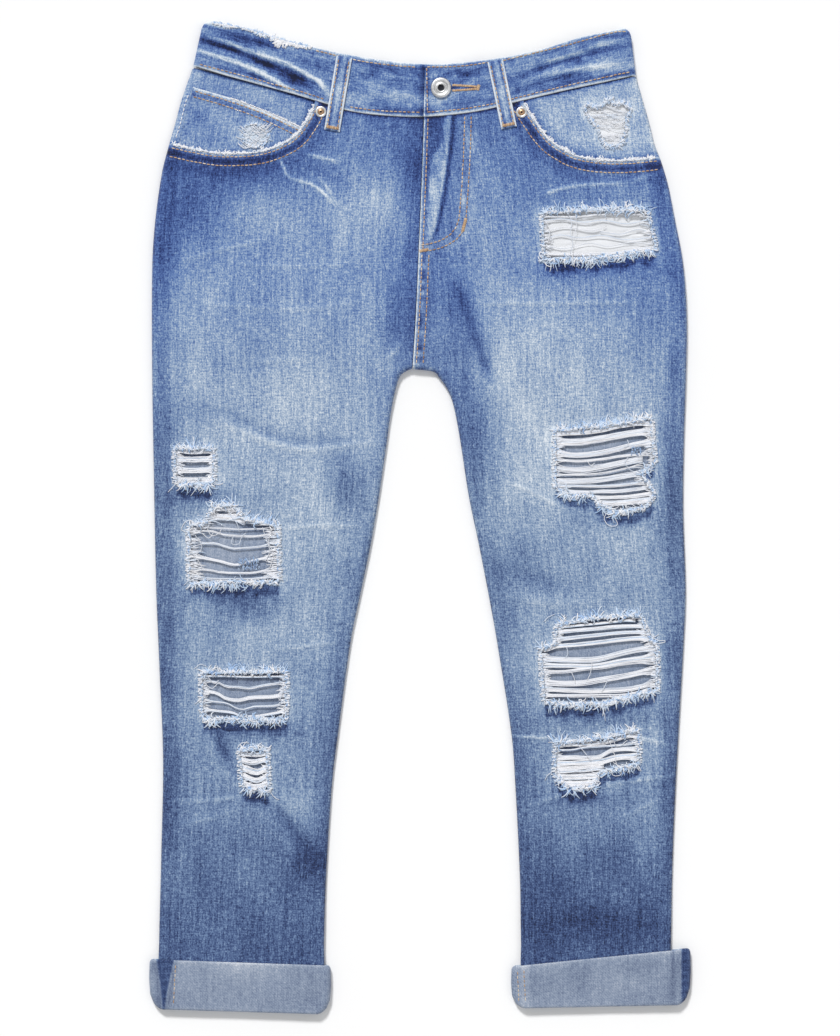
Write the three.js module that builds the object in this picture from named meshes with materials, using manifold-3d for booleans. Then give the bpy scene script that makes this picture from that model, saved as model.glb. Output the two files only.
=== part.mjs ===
// A pair of ripped jeans with rolled cuffs, laid flat on its back.
// Millimetres. +X is across (the wearer's left side), +Y runs from the cuffs to the waist and +Z is up,
// away from the surface. The origin is the middle of the outline, on the surface that the jeans lie on.
// Every cloth piece is a thin wall: two surfaces that follow the same sections, a ply apart.
import * as THREE from "three";
import { mergeVertices } from "three/addons/utils/BufferGeometryUtils.js";
import Module from "manifold-3d";

const wasm = await Module();
wasm.setup();

// ---- Driving sizes -------------------------------------------------------------------------------
const CLOTH = 1.0; // one ply of denim
const GAP = 0.35; // clearance between neighbouring pieces
const PLY = CLOTH + GAP;
const BAND = 2.0; // the waistband, two plies
const ROLL = 2.2; // the rolled cuff, two plies and the turn of the hem
const LOOP = 1.2; // a belt loop, folded
const LOOP_WIDTH = 13;

const HEM_Y = -399.5; // where the leg turns up inside its cuff
const CROTCH_Y = 122.5;
const SEAT_LIFT = PLY; // the seat stands on the back pockets and loops
const CUFF_LIFT = ROLL + GAP; // the leg's end stands on the back of its cuff

// Heights of the top of the front panels: at the middle of the leg, at its side folds, by zone.
const HEIGHT = {
  cuff: { middle: 5.8, edge: 5.8, share: 0.5 },
  leg: { middle: 4.2, edge: 6.0, share: 0.45 },
  hip: { middle: 7.8, edge: 8.0, share: 0.35 },
};
const BAND_TOP = 8.2;

// Outlines, as [x, y], from the hem up. x is read off at any y by a smooth line through the points.
const OUTSEAM = {
  right: [
    [-206.5, HEM_Y], [-215, -382], [-215.3, -349], [-213.7, -279], [-212.2, -200], [-215.3, -121],
    [-217.8, -61], [-219.5, 18], [-221.1, 117], [-221.1, 206], [-218.6, 245], [-212.9, 285],
    [-207.9, 305], [-202.1, 325], [-197, 344], [-187.3, 371.7],
  ],
  left: [
    [199.5, HEM_Y], [206, -382], [207.1, -349], [208.7, -279], [211.2, -220], [214.5, -160],
    [217.8, -101], [219.3, -61], [217.2, 8], [217.8, 57], [219.5, 117], [220.3, 155], [219.3, 186],
    [216.2, 216], [210.6, 245], [204.6, 275], [199, 294], [193.6, 308], [189.4, 325], [178.2, 364.2],
  ],
};
const INSEAM = {
  right: [
    [-88.5, HEM_Y], [-80, -382], [-79.2, -349], [-77.6, -299], [-72.6, -220], [-67.8, -180],
    [-57, -101], [-48.7, -61], [-40.6, -22], [-33.8, 18], [-28.1, 57], [-23.9, 87], [-19.8, 107],
    [-15.8, 117.6], [-10, 121.5], [-6.3, CROTCH_Y],
  ],
  left: [
    [93, HEM_Y], [84.2, -382], [83.3, -349], [82.5, -299], [78.6, -220], [75.6, -180],
    [63.3, -101], [56.1, -61], [48.5, -22], [40.2, 18], [34.2, 57], [30.3, 80], [26.4, 97],
    [22, 107], [15.4, 116], [9.9, 120.7], [-6, CROTCH_Y],
  ],
};
const CENTRE_FRONT = [
  [-6.3, CROTCH_Y], [-3.6, 165], [-1.2, 219], [1.2, 275], [3.3, 330.4],
];
const WAIST_SEAM = [
  [-187.3, 371.7], [-142, 359.6], [-100, 348], [-77.6, 341], [-60, 335.6], [-33, 331.8],
  [3.3, 330.4], [40, 333.8], [62, 338], [78.4, 342.3], [125, 353.4], [178.2, 364.2],
];
const WAIST_TOP = [
  [-179, 409.5], [-148.5, 404.7], [-99, 390.6], [-49.5, 379.9], [0, 374.1], [49.5, 376.6],
  [99, 385.7], [135, 396.6], [173.5, 403.6],
];

// Rows of the leg sections, and shares of the way from the crotch to the waist for the hip sections.
const LEG_ROWS = [HEM_Y, -387, -366, -343, -300, -250, -200, -150, -100, -50, 0, 45, 80, 102, 114, 120];
const HIP_ROWS = [0, 0.06, 0.15, 0.3, 0.5, 0.7, 0.86, 1];
const ARC = [0, Math.PI / 4, Math.PI / 2];
const FRONT_COLUMNS = [0.15, 0.38, 0.62, 0.85];
const BACK_COLUMNS = [0.25, 0.75];

// ---- Small helpers -------------------------------------------------------------------------------
const mix = (a, b, t) => a + (b - a) * t;
const smooth = (from, to, x) => {
  const t = Math.min(1, Math.max(0, (x - from) / (to - from)));
  return t * t * (3 - 2 * t);
};

// A smooth line through points: the value of one coordinate at any place along the other.
function lineThrough(points, key, value) {
  const k = points.map((p) => p[key]);
  const v = points.map((p) => p[value]);
  const slope = k.map((_, i) => {
    const a = Math.max(0, i - 1);
    const b = Math.min(k.length - 1, i + 1);
    return (v[b] - v[a]) / (k[b] - k[a]);
  });
  return (at) => {
    let i = 0;
    while (i < k.length - 2 && at > k[i + 1]) i++;
    const h = k[i + 1] - k[i];
    const t = Math.min(1, Math.max(0, (at - k[i]) / h));
    const a = 2 * t ** 3 - 3 * t ** 2 + 1;
    const b = t ** 3 - 2 * t ** 2 + t;
    const c = 3 * t ** 2 - 2 * t ** 3;
    const d = t ** 3 - t ** 2;
    return a * v[i] + b * h * slope[i] + c * v[i + 1] + d * h * slope[i + 1];
  };
}
const xAtY = (points) => lineThrough(points, 1, 0);
const yAtX = (points) => lineThrough(points, 0, 1);

const centreFront = xAtY(CENTRE_FRONT);
const waistSeam = yAtX(WAIST_SEAM);
const waistTop = yAtX(WAIST_TOP);
const CENTRE_TOP = waistSeam(CENTRE_FRONT.at(-1)[0]);

// A closed wall between two grids of points, outer and inner, with the same rows and columns.
// With loop the last column joins the first, as on a cuff.
function wall(outer, inner, loop = false) {
  const rows = outer.length;
  const cols = outer[0].length;
  const positions = [...outer.flat(), ...inner.flat()].flat();
  const at = (layer, i, j) => layer * rows * cols + i * cols + (j % cols);
  const index = [];
  const quad = (a, b, c, d) => index.push(a, b, c, a, c, d);
  const spans = loop ? cols : cols - 1;
  for (let i = 0; i < rows - 1; i++)
    for (let j = 0; j < spans; j++) {
      quad(at(0, i, j), at(0, i, j + 1), at(0, i + 1, j + 1), at(0, i + 1, j));
      quad(at(1, i, j), at(1, i + 1, j), at(1, i + 1, j + 1), at(1, i, j + 1));
    }
  for (let j = 0; j < spans; j++) {
    quad(at(0, 0, j), at(1, 0, j), at(1, 0, j + 1), at(0, 0, j + 1));
    quad(at(0, rows - 1, j), at(0, rows - 1, j + 1), at(1, rows - 1, j + 1), at(1, rows - 1, j));
  }
  if (!loop)
    for (let i = 0; i < rows - 1; i++) {
      quad(at(0, i, 0), at(0, i + 1, 0), at(1, i + 1, 0), at(1, i, 0));
      quad(at(0, i, cols - 1), at(1, i, cols - 1), at(1, i + 1, cols - 1), at(0, i + 1, cols - 1));
    }
  return facingOut(new THREE.BufferGeometry()
    .setAttribute("position", new THREE.Float32BufferAttribute(positions, 3))
    .setIndex(index));
}

// Turns a closed geometry's faces round if they point inwards.
function facingOut(geometry) {
  const p = geometry.attributes.position;
  const index = geometry.index.array;
  const [a, b, c] = [new THREE.Vector3(), new THREE.Vector3(), new THREE.Vector3()];
  let volume = 0;
  for (let i = 0; i < index.length; i += 3) {
    a.fromBufferAttribute(p, index[i]);
    b.fromBufferAttribute(p, index[i + 1]);
    c.fromBufferAttribute(p, index[i + 2]);
    volume += a.dot(b.cross(c));
  }
  if (volume < 0)
    for (let i = 0; i < index.length; i += 3)
      [index[i + 1], index[i + 2]] = [index[i + 2], index[i + 1]];
  return geometry;
}

// Geometry to solid and back, for the cuts.
function solidOf(geometry) {
  const bare = geometry.clone();
  bare.deleteAttribute("normal");
  bare.deleteAttribute("uv");
  const merged = mergeVertices(bare, 1e-4);
  return new wasm.Manifold(new wasm.Mesh({
    numProp: 3,
    vertProperties: merged.attributes.position.array,
    triVerts: new Uint32Array(merged.index.array),
  }));
}
function geometryOf(solid) {
  const mesh = solid.getMesh();
  const positions = [];
  for (let i = 0; i < mesh.numVert; i++)
    positions.push(...mesh.vertProperties.subarray(i * mesh.numProp, i * mesh.numProp + 3));
  return new THREE.BufferGeometry()
    .setAttribute("position", new THREE.Float32BufferAttribute(positions, 3))
    .setIndex(new THREE.BufferAttribute(mesh.triVerts, 1));
}

// A straight-sided prism over an outline of [x, y] points, from one height to another.
function plate(points, bottom, top) {
  const shape = new THREE.Shape(points.map(([x, y]) => new THREE.Vector2(x, y)));
  const geometry = new THREE.ExtrudeGeometry(shape, { depth: top - bottom, bevelEnabled: false });
  return geometry.translate(0, 0, bottom);
}
const CUT_LOW = -20;
const CUT_HIGH = 40;
const prism = (points) => solidOf(plate(points, CUT_LOW, CUT_HIGH));
const keep = (geometry, cutter) => geometryOf(solidOf(geometry).intersect(cutter));
const cut = (geometry, cutter) => geometryOf(solidOf(geometry).subtract(cutter));

// ---- The form that the cloth follows --------------------------------------------------------------
// By height up the garment: how the zones blend, and what the back lies on.
function zone(key, y) {
  const leg = mix(HEIGHT.cuff[key], HEIGHT.leg[key], smooth(-352, -295, y));
  return mix(leg, HEIGHT.hip[key], smooth(55, 165, y));
}
const lift = (y) => CUFF_LIFT * (1 - smooth(-348, -300, y)) + SEAT_LIFT * smooth(55, 112, y);
const seamHeight = (y) => mix(lift(y), zone("edge", y), zone("share", y));

// The largest soft folds of the front, as [x, y, angle in degrees, length, width, height].
const FOLDS = [
  [-163, -195, -52, 62, 13, 0.9], [-118, -232, -38, 60, 14, 1.0], [-150, -290, 14, 90, 16, 0.6],
  [52, 92, -62, 70, 12, 1.0], [-60, 40, 12, 80, 18, 0.6], [150, -215, 14, 80, 14, 0.6],
  [-120, 20, -14, 90, 16, 0.6], [120, 130, 4, 110, 22, 0.5], [-120, 150, 8, 110, 22, 0.5],
];
function folds(x, y) {
  let z = 0;
  for (const [fx, fy, degrees, length, width, height] of FOLDS) {
    const a = THREE.MathUtils.degToRad(degrees);
    const along = ((x - fx) * Math.cos(a) + (y - fy) * Math.sin(a)) / (length / 2);
    const across = (-(x - fx) * Math.sin(a) + (y - fy) * Math.cos(a)) / width;
    z += height * Math.exp(-(along ** 2) - across ** 2);
  }
  return z;
}

const SIDES = {
  right: { out: xAtY(OUTSEAM.right), inner: xAtY(INSEAM.right), top: OUTSEAM.right.at(-1)[1], sign: -1 },
  left: { out: xAtY(OUTSEAM.left), inner: xAtY(INSEAM.left), top: OUTSEAM.left.at(-1)[1], sign: 1 },
};

// The rows of one side, from the hem to the waist seam: where each starts and ends.
function rowsOf(side) {
  const { out, inner, top, sign } = SIDES[side];
  const legRows = LEG_ROWS.map((y) => ({ yOut: y, yIn: y, x0: out(y), x1: inner(y), w: 0 }));
  const hipRows = HIP_ROWS.map((w) => {
    const yOut = mix(CROTCH_Y, top, w);
    const yIn = mix(CROTCH_Y, CENTRE_TOP, w);
    return { yOut, yIn, x0: out(yOut), x1: centreFront(yIn) + (sign * GAP) / 2, w };
  });
  return [...legRows, ...hipRows];
}

// A point on a front or back panel's form: row r, across from the side seam (f = 0) to the inner seam
// (f = 1), or round the side fold by an angle. depth is how far it lies inside the outermost face.
function formPoint(r, half, edge, place, depth) {
  const front = half === "front";
  const yAt = (f) => {
    const x = mix(r.x0, r.x1, f);
    const straight = mix(r.yOut, r.yIn, f);
    return straight + r.w ** 3 * (waistSeam(x) - straight);
  };
  const width = Math.abs(r.x1 - r.x0);
  const inward = Math.sign(r.x1 - r.x0);
  const heightAt = (f, x, y) => {
    const sideways = Math.abs(2 * f - 1) ** 4;
    const flat = mix(zone("middle", y), zone("edge", y), sideways);
    return front ? flat + folds(x, y) - depth : lift(y) + depth;
  };
  if (edge === "none") {
    const x = mix(r.x0, r.x1, place);
    const y = yAt(place);
    return [x, y, heightAt(place, x, y)];
  }
  const fromSide = edge === "side";
  const rowY = yAt(fromSide ? 0 : 1);
  const seam = seamHeight(rowY) + ((front ? 1 : -1) * GAP) / 2;
  const face = front ? zone("edge", rowY) : lift(rowY);
  const radius = Math.abs(face - seam);
  const share = fromSide ? 1 : 1 - smooth(100, CROTCH_Y, rowY); // flat where it meets the other leg
  const rounded = radius - (radius - depth) * Math.cos(place);
  const flatStep = (radius * place) / (Math.PI / 2);
  const step = mix(flatStep, rounded, share);
  const roundHeight = seam + (front ? 1 : -1) * (radius - depth) * Math.sin(place);
  const x = fromSide ? r.x0 + inward * step : r.x1 - inward * step;
  const f = fromSide ? step / width : 1 - step / width;
  const y = yAt(f);
  return [x, y, mix(heightAt(f, x, y), roundHeight, share)];
}

// One surface of a panel: all its rows and columns at one depth.
function surface(rows, half, depth) {
  const columns = half === "front" ? FRONT_COLUMNS : BACK_COLUMNS;
  return rows.map((r) => [
    ...ARC.map((a) => formPoint(r, half, "side", a, depth)),
    ...columns.map((f) => formPoint(r, half, "none", f, depth)),
    ...[...ARC].reverse().map((a) => formPoint(r, half, "inner", a, depth)),
  ]);
}

// The waistband's stations across, in front and behind. All that meets it is trimmed to its lower edge.
const BAND_STATIONS = [-160, -128, -96, -64, -36, -9, 3, 36, 64, 92, 122, 152];
const belowBand = prism([
  [-260, -500], [260, -500], [260, waistSeam(OUTSEAM.left.at(-1)[0]) - GAP],
  ...[OUTSEAM.right.at(-1)[0], ...BAND_STATIONS, OUTSEAM.left.at(-1)[0]]
    .reverse().map((x) => [x, waistSeam(x) - GAP]),
  [-260, waistSeam(OUTSEAM.right.at(-1)[0]) - GAP],
]);
const panel = (side, half, from, to, rows = rowsOf(side)) =>
  keep(wall(surface(rows, half, from), surface(rows, half, to)), belowBand);

// ---- Outlines of what is cut from the panels -----------------------------------------------------
const spline = (points, steps) =>
  new THREE.SplineCurve(points.map(([x, y]) => new THREE.Vector2(x, y)))
    .getPoints(steps)
    .map((p) => [p.x, p.y]);

const POCKET_CURVE = {
  right: [
    [-212, 310], [-181.5, 303.2], [-159.2, 300.7], [-130.4, 302.8], [-107.3, 312.3], [-94.9, 326.3],
    [-84.5, 347],
  ],
  left: [
    [208, 299], [180.7, 295.8], [156.8, 294.9], [133.7, 297.6], [117.6, 304.4], [103.1, 316.4],
    [82.5, 347],
  ],
};
const CURVE_STEPS = 12;
const LAP_ACROSS = 0.7; // how much of a lap also runs towards the centre

// All that lies above the pocket's curved edge, moved down by a lap. The curve ends at the waist seam.
function pocketMouth(side, lap = 0) {
  const curve = spline(POCKET_CURVE[side], CURVE_STEPS)
    .map(([x, y]) => [x - Math.sign(x) * lap * LAP_ACROSS, y - lap]);
  const far = Math.sign(curve[0][0]) * 260;
  const outline = [[far, curve[0][1]], ...curve, [curve.at(-1)[0], 420], [far, 420]];
  return prism(side === "right" ? outline : outline.reverse());
}

// The rips, as outlines of the worn-away warp. Bars of weft yarn are left across each one.
const RIPS = {
  left: [
    [[101, 250], [187, 252], [193, 221], [103, 214]],
    [[112, 71], [190, 82], [193, 46], [182, 36], [193, 20], [186, 9], [162, 6], [142, 18], [112, 24]],
    [[113, -90], [182, -82], [189, -102], [195, -142], [149, -152], [103, -152], [100, -109], [112, -105]],
    [[112, -188], [180, -177], [180, -202], [148, -210], [144, -222], [124, -223], [112, -213]],
  ],
  right: [
    [[-202, 56], [-171, 56], [-171, 29], [-201, 28]],
    [[-190, -8], [-175, -4], [-171, 8], [-154, 9], [-146, -2], [-118, -8], [-117, -52], [-190, -53]],
    [[-180, -129], [-111, -128], [-111, -165], [-179, -165]],
    [[-149, -193], [-127, -192], [-125, -225], [-146, -222]],
  ],
};
const FACING_RIP = [
  [137, 342], [146, 337], [159, 343], [171, 337], [167, 324], [166, 316], [152, 310], [141, 321],
];
const SLOT = 7.5; // an open stretch between two bars of weft
const BAR = 2.5;

// The open slots of one rip: its outline, less the bars of weft.
function slots(outline) {
  const ys = outline.map((p) => p[1]);
  const [low, high] = [Math.min(...ys), Math.max(...ys)];
  let open = prism(outline);
  for (let y = low + SLOT; y < high; y += SLOT + BAR)
    open = open.subtract(prism([[-300, y], [300, y], [300, y + BAR], [-300, y + BAR]]));
  return open;
}

// ---- Colours and the group -------------------------------------------------------------------------
const DENIM = new THREE.MeshStandardMaterial({ color: 0x7d99c2, roughness: 0.9, metalness: 0 });
const DENIM_INSIDE = new THREE.MeshStandardMaterial({ color: 0x8591a8, roughness: 0.95, metalness: 0 });
const COTTON = new THREE.MeshStandardMaterial({ color: 0xdfe2e6, roughness: 0.9, metalness: 0 });
const STEEL = new THREE.MeshStandardMaterial({ color: 0xb9bcc0, roughness: 0.35, metalness: 1 });

const jeans = new THREE.Group();
function add(name, geometry, material) {
  const mesh = new THREE.Mesh(geometry, material);
  mesh.name = name;
  jeans.add(mesh);
  return mesh;
}

// ---- Front panels ----------------------------------------------------------------------------------
for (const side of ["right", "left"]) {
  let front = cut(panel(side, "front", 0, CLOTH), pocketMouth(side));
  for (const outline of RIPS[side]) front = cut(front, slots(outline));
  add(`front_${side}`, front, DENIM);
}

// ---- Back panels and yokes -------------------------------------------------------------------------
const YOKE_SIDE = 34; // below the waist seam, at the side
const YOKE_CENTRE = 64; // and at the seat seam
for (const side of ["right", "left"]) {
  const { sign, top } = SIDES[side];
  const sideY = top - YOKE_SIDE;
  const centreY = waistSeam(0) - YOKE_CENTRE;
  const yokeLine = (shift) => {
    const [near, far, above] = [sign * -30, sign * 230, 430];
    const outline = [[near, centreY - 8 + shift], [far, sideY + shift], [far, above], [near, above]];
    return prism(sign > 0 ? outline : outline.reverse());
  };
  const back = panel(side, "back", 0, CLOTH);
  add(`back_${side}`, cut(back, yokeLine(-GAP / 2)), DENIM);
  add(`yoke_${side}`, keep(back, yokeLine(GAP / 2)), DENIM);
}

// ---- Front pockets: facing, coin pocket and bag ------------------------------------------------------
const POCKET_BAG = [
  [72, 350], [74, 262], [84, 207], [106, 186], [150, 180], [190, 186], [206, 208], [201, 264],
  [190, 302], [172, 356],
];
const POCKET_LAP = 12; // how far a facing runs on behind the pocket's edge
const COIN_PLIES = { right: 1, left: 0 }; // the coin pocket lies between the facing and the front
for (const side of ["right", "left"]) {
  const depth = PLY * (1 + COIN_PLIES[side]);
  const hipRows = rowsOf(side).filter((r) => r.yOut > 190);
  let facing = keep(panel(side, "front", depth, depth + CLOTH, hipRows), pocketMouth(side, POCKET_LAP));
  if (side === "left") facing = cut(facing, prism(FACING_RIP));
  add(`pocket_facing_${side}`, facing, DENIM);

  const s = SIDES[side].sign;
  const bag = POCKET_BAG.map(([x, y]) => [s * x, y]);
  const bagRows = rowsOf(side).filter((r) => r.yOut > 130);
  add(`pocket_bag_${side}`,
    keep(panel(side, "front", depth + PLY, depth + PLY + CLOTH, bagRows), prism(s > 0 ? bag : bag.reverse())),
    COTTON);
}
const COIN_POCKET = [
  [-187, 355], [-159, 347], [-128, 335.8], [-95, 320.3], [-97, 290], [-196, 290], [-199, 308],
];
add("coin_pocket",
  keep(
    panel("right", "front", PLY, PLY + CLOTH, rowsOf("right").filter((r) => r.yOut > 190)),
    prism(COIN_POCKET)),
  DENIM);

// ---- Fly: facing behind the lap, zip and shield ------------------------------------------------------
const FLY_J = [[45, 334], [43.4, 272], [40.8, 243], [32.5, 227], [18.5, 217.5], [3, 214.5]];
const flyOutline = [[5.2, 340], [3, 272], [1.2, 214.5], ...spline(FLY_J, 10).reverse()];
add("fly_facing",
  keep(
    panel("left", "front", PLY, PLY + CLOTH, rowsOf("left").filter((r) => r.w > 0)),
    prism(flyOutline.reverse())),
  DENIM_INSIDE);
const ZIP_BOTTOM = 225;
const FLY_TOP = 328;
const ZIP_LOW = 4.05;
const ZIP = [[3, ZIP_BOTTOM], [27, ZIP_BOTTOM], [29, FLY_TOP], [5.5, FLY_TOP]];
add("zip", plate(ZIP, ZIP_LOW, ZIP_LOW + CLOTH), STEEL);
const SHIELD_LOW = SEAT_LIFT + PLY;
const SHIELD = [[-12, 235], [6, 222], [24, 222], [34, 235], [37, FLY_TOP], [-8, FLY_TOP]];
add("fly_shield", plate(SHIELD, SHIELD_LOW, SHIELD_LOW + CLOTH), DENIM_INSIDE);

// ---- Waistband: one strip, from under the button round the back to the buttonhole -------------------
const BAND_ENDS = { left: OUTSEAM.left.at(-1), right: OUTSEAM.right.at(-1) };
const UNDERLAP_X = 36;
const OVERLAP_X = 3;
const BAND_LIFT = SEAT_LIFT;
const BAND_SEAM_Z = mix(BAND_LIFT, BAND_TOP, 0.45);
const BAND_ROWS = [0, 0.35, 0.7, 0.93, 1];
const TOP_IN = [0, 0, 0, 1, 4]; // the top corners are rounded in

function bandPoint(column, row, depth) {
  const { end, angle, half, level = 0 } = column;
  const s = BAND_ROWS[row];
  const bottomEnds = [BAND_ENDS.right[0], BAND_ENDS.left[0]];
  const topEnds = [WAIST_TOP[0][0], WAIST_TOP.at(-1)[0]];
  const width = bottomEnds[1] - bottomEnds[0];
  const fraction = column.x === undefined ? end : (column.x - bottomEnds[0]) / width;
  const front = half === "front";
  const radius = front ? BAND_TOP - BAND_SEAM_Z : BAND_SEAM_Z - BAND_LIFT;
  let step = 0;
  let z = front ? BAND_TOP - level * (BAND + GAP) - depth : BAND_LIFT + depth;
  if (angle !== undefined) {
    step = radius - (radius - depth) * Math.cos(angle);
    z = BAND_SEAM_Z + (front ? 1 : -1) * (radius - depth) * Math.sin(angle);
  }
  const inward = fraction < 0.5 ? 1 : -1;
  const xBottom = mix(...bottomEnds, fraction);
  const xTop = mix(...topEnds, fraction);
  const move = angle === undefined ? 0 : inward * (step + TOP_IN[row]);
  const x = mix(xBottom, xTop, s) + move;
  return [x, mix(waistSeam(xBottom), waistTop(xTop), s), z];
}
const turn = (end, halves) => [
  ...[...ARC].reverse().map((angle) => ({ end, angle, half: halves[0] })),
  ...ARC.slice(1).map((angle) => ({ end, angle, half: halves[1] })),
];
const stations = (half, from, to) =>
  BAND_STATIONS.filter((x) => x >= from && x <= to).map((x) => ({ x, half }));
const bandColumns = [
  { x: UNDERLAP_X, half: "front", level: 1 },
  { x: OVERLAP_X - 1.5, half: "front", level: 1 },
  ...stations("front", -200, -9).reverse(),
  ...turn(0, ["front", "back"]),
  ...stations("back", -200, 200),
  ...turn(1, ["back", "front"]),
  ...stations("front", OVERLAP_X, 200).reverse(),
];
const bandSurface = (depth) => BAND_ROWS.map((_, row) => bandColumns.map((c) => bandPoint(c, row, depth)));

const BUTTON = { x: 17.3, y: 354.3, radius: 8.5, shank: 1.8 };
const BUTTONHOLE = { eye: 2.4, slit: 0.8, length: 22 };
const eyePoints = Array.from({ length: 10 }, (_, i) => {
  const a = 0.35 + (i / 9) * (2 * Math.PI - 0.7);
  return [BUTTON.x + BUTTONHOLE.eye * Math.cos(a), BUTTON.y + BUTTONHOLE.eye * Math.sin(a)];
});
const slitEnd = BUTTON.x + BUTTONHOLE.length;
const buttonhole = solidOf(plate(
  [...eyePoints, [slitEnd, BUTTON.y - BUTTONHOLE.slit / 2], [slitEnd, BUTTON.y + BUTTONHOLE.slit / 2]],
  BAND_TOP - BAND - GAP / 2, CUT_HIGH));
add("waistband", cut(wall(bandSurface(0), bandSurface(BAND)), buttonhole), DENIM);

// ---- Belt loops: two in front, three behind -----------------------------------------------------------
function loopStrip(from, to, heights) {
  const along = new THREE.Vector2(to[0] - from[0], to[1] - from[1]);
  const side = new THREE.Vector2(-along.y, along.x).setLength(LOOP_WIDTH / 2);
  const at = (raise) => heights.map((z, i) => {
    const t = i / (heights.length - 1);
    const x = mix(from[0], to[0], t);
    const y = mix(from[1], to[1], t);
    return [-1, 1].map((s) => [x + s * side.x, y + s * side.y, z + raise]);
  });
  return wall(at(LOOP), at(0));
}
const ON_BAND = BAND_TOP + GAP;
const FRONT_LOOP = [ON_BAND, ON_BAND + 0.5, ON_BAND + 0.7, ON_BAND + 0.5, ON_BAND];
add("belt_loop_front_right", loopStrip([-62.3, 379.9], [-72.6, 318.9], FRONT_LOOP), DENIM);
add("belt_loop_front_left", loopStrip([61.9, 376.6], [73.4, 321.3], FRONT_LOOP), DENIM);
const BACK_LOOPS = { right: -118, centre: 0, left: 118 };
const LOOP_OVER = 62;
for (const [place, x] of Object.entries(BACK_LOOPS)) {
  const top = waistTop(x) - 1;
  add(`belt_loop_back_${place}`,
    plate([[x - LOOP_WIDTH / 2, top - LOOP_OVER], [x + LOOP_WIDTH / 2, top - LOOP_OVER],
      [x + LOOP_WIDTH / 2, top], [x - LOOP_WIDTH / 2, top]], 0, CLOTH), DENIM);
}

// ---- Back pockets, which the seat lies on --------------------------------------------------------------
const BACK_POCKET = [[48, 248], [165, 264], [172, 162], [114, 128], [50, 148]];
for (const side of ["right", "left"]) {
  const s = SIDES[side].sign;
  const outline = BACK_POCKET.map(([x, y]) => [s * x, y]);
  add(`back_pocket_${side}`, plate(s > 0 ? outline.reverse() : outline, 0, CLOTH), DENIM);
}

// ---- Cuffs: the leg's end turned up twice ---------------------------------------------------------------
const CUFFS = {
  right: { low: [-223.6, -405.4, -73.4, -410], high: [-223.6, -364.4, -73.4, -369.6] },
  left: { low: [75.1, -405, 223.6, -402], high: [75.1, -370.4, 223.6, -355.4] },
};
const CUFF_HEIGHT = 8.4;
const CUFF_ROWS = [0, 0.1, 0.3, 0.6, 0.94, 1];
const CUFF_IN = [9, 4, 0.8, 0, 0.4, 1.6]; // how far each row's ends stand in from the widest
const CUFF_COLUMNS = [0.2, 0.5, 0.8];
function cuffSurface({ low, high }, depth) {
  const radius = CUFF_HEIGHT / 2;
  return CUFF_ROWS.map((s, row) => {
    const [x0, y0, x1, y1] = low.map((v, i) => mix(v, high[i], s));
    const [a0, a1] = [x0 + CUFF_IN[row], x1 - CUFF_IN[row]];
    const slope = (x) => mix(y0, y1, (x - x0) / (x1 - x0));
    const end = (x, inward, angles, up) => angles.map((a) => {
      const px = x + inward * (radius - (radius - depth) * Math.cos(a));
      return [px, slope(px), radius + up * (radius - depth) * Math.sin(a)];
    });
    const flat = (fractions, z) => fractions.map((f) => {
      const px = mix(a0 + radius, a1 - radius, f);
      return [px, slope(px), z];
    });
    const around = [...ARC].reverse();
    return [
      ...end(a0, 1, ARC, 1), ...flat(CUFF_COLUMNS, CUFF_HEIGHT - depth), ...end(a1, -1, around, 1),
      ...end(a1, -1, ARC.slice(1), -1), ...flat([...CUFF_COLUMNS].reverse(), depth),
      ...end(a0, 1, around.slice(0, -1), -1),
    ];
  });
}
for (const side of ["right", "left"])
  add(`cuff_${side}`, wall(cuffSurface(CUFFS[side], 0), cuffSurface(CUFFS[side], ROLL), true), DENIM_INSIDE);

// ---- Button and rivets -----------------------------------------------------------------------------------
function turned(profile, x, y, z, segments) {
  const points = profile.map(([r, h]) => new THREE.Vector2(r, h));
  const geometry = new THREE.LatheGeometry(points, segments).rotateX(Math.PI / 2);
  return geometry.translate(x, y, z);
}
const UNDERLAP_TOP = BAND_TOP - BAND - GAP;
const SHANK_FOOT = UNDERLAP_TOP + GAP;
const CAP = ON_BAND - SHANK_FOOT; // the cap's underside, above the shank's foot
add("button", turned([
  [0, 0], [BUTTON.shank, 0], [BUTTON.shank, CAP], [BUTTON.radius - 0.8, CAP], [BUTTON.radius, CAP + 0.8],
  [BUTTON.radius - 0.5, CAP + 1.9], [BUTTON.radius - 1.7, CAP + 2.2], [3.4, CAP + 1.3], [2.6, CAP + 0.6],
  [1.2, CAP + 0.6], [0, CAP + 1.0],
], BUTTON.x, BUTTON.y, SHANK_FOOT, 24), STEEL);
const RIVETS = { right: [-81.7, 334.5], left: [83.7, 334.1] };
for (const [side, [x, y]] of Object.entries(RIVETS))
  add(`rivet_${side}`, turned([
    [0, 0], [4.0, 0], [4.6, 0.4], [4.3, 1.0], [2.6, 1.2], [1.6, 0.9], [1.2, 1.5], [0, 1.7],
  ], x, y, HEIGHT.hip.edge + GAP, 16), STEEL);

export default jeans;
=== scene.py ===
import math

import bpy
import numpy as np
from bpy.props import FloatProperty, FloatVectorProperty, PointerProperty
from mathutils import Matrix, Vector, geometry, kdtree


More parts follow.
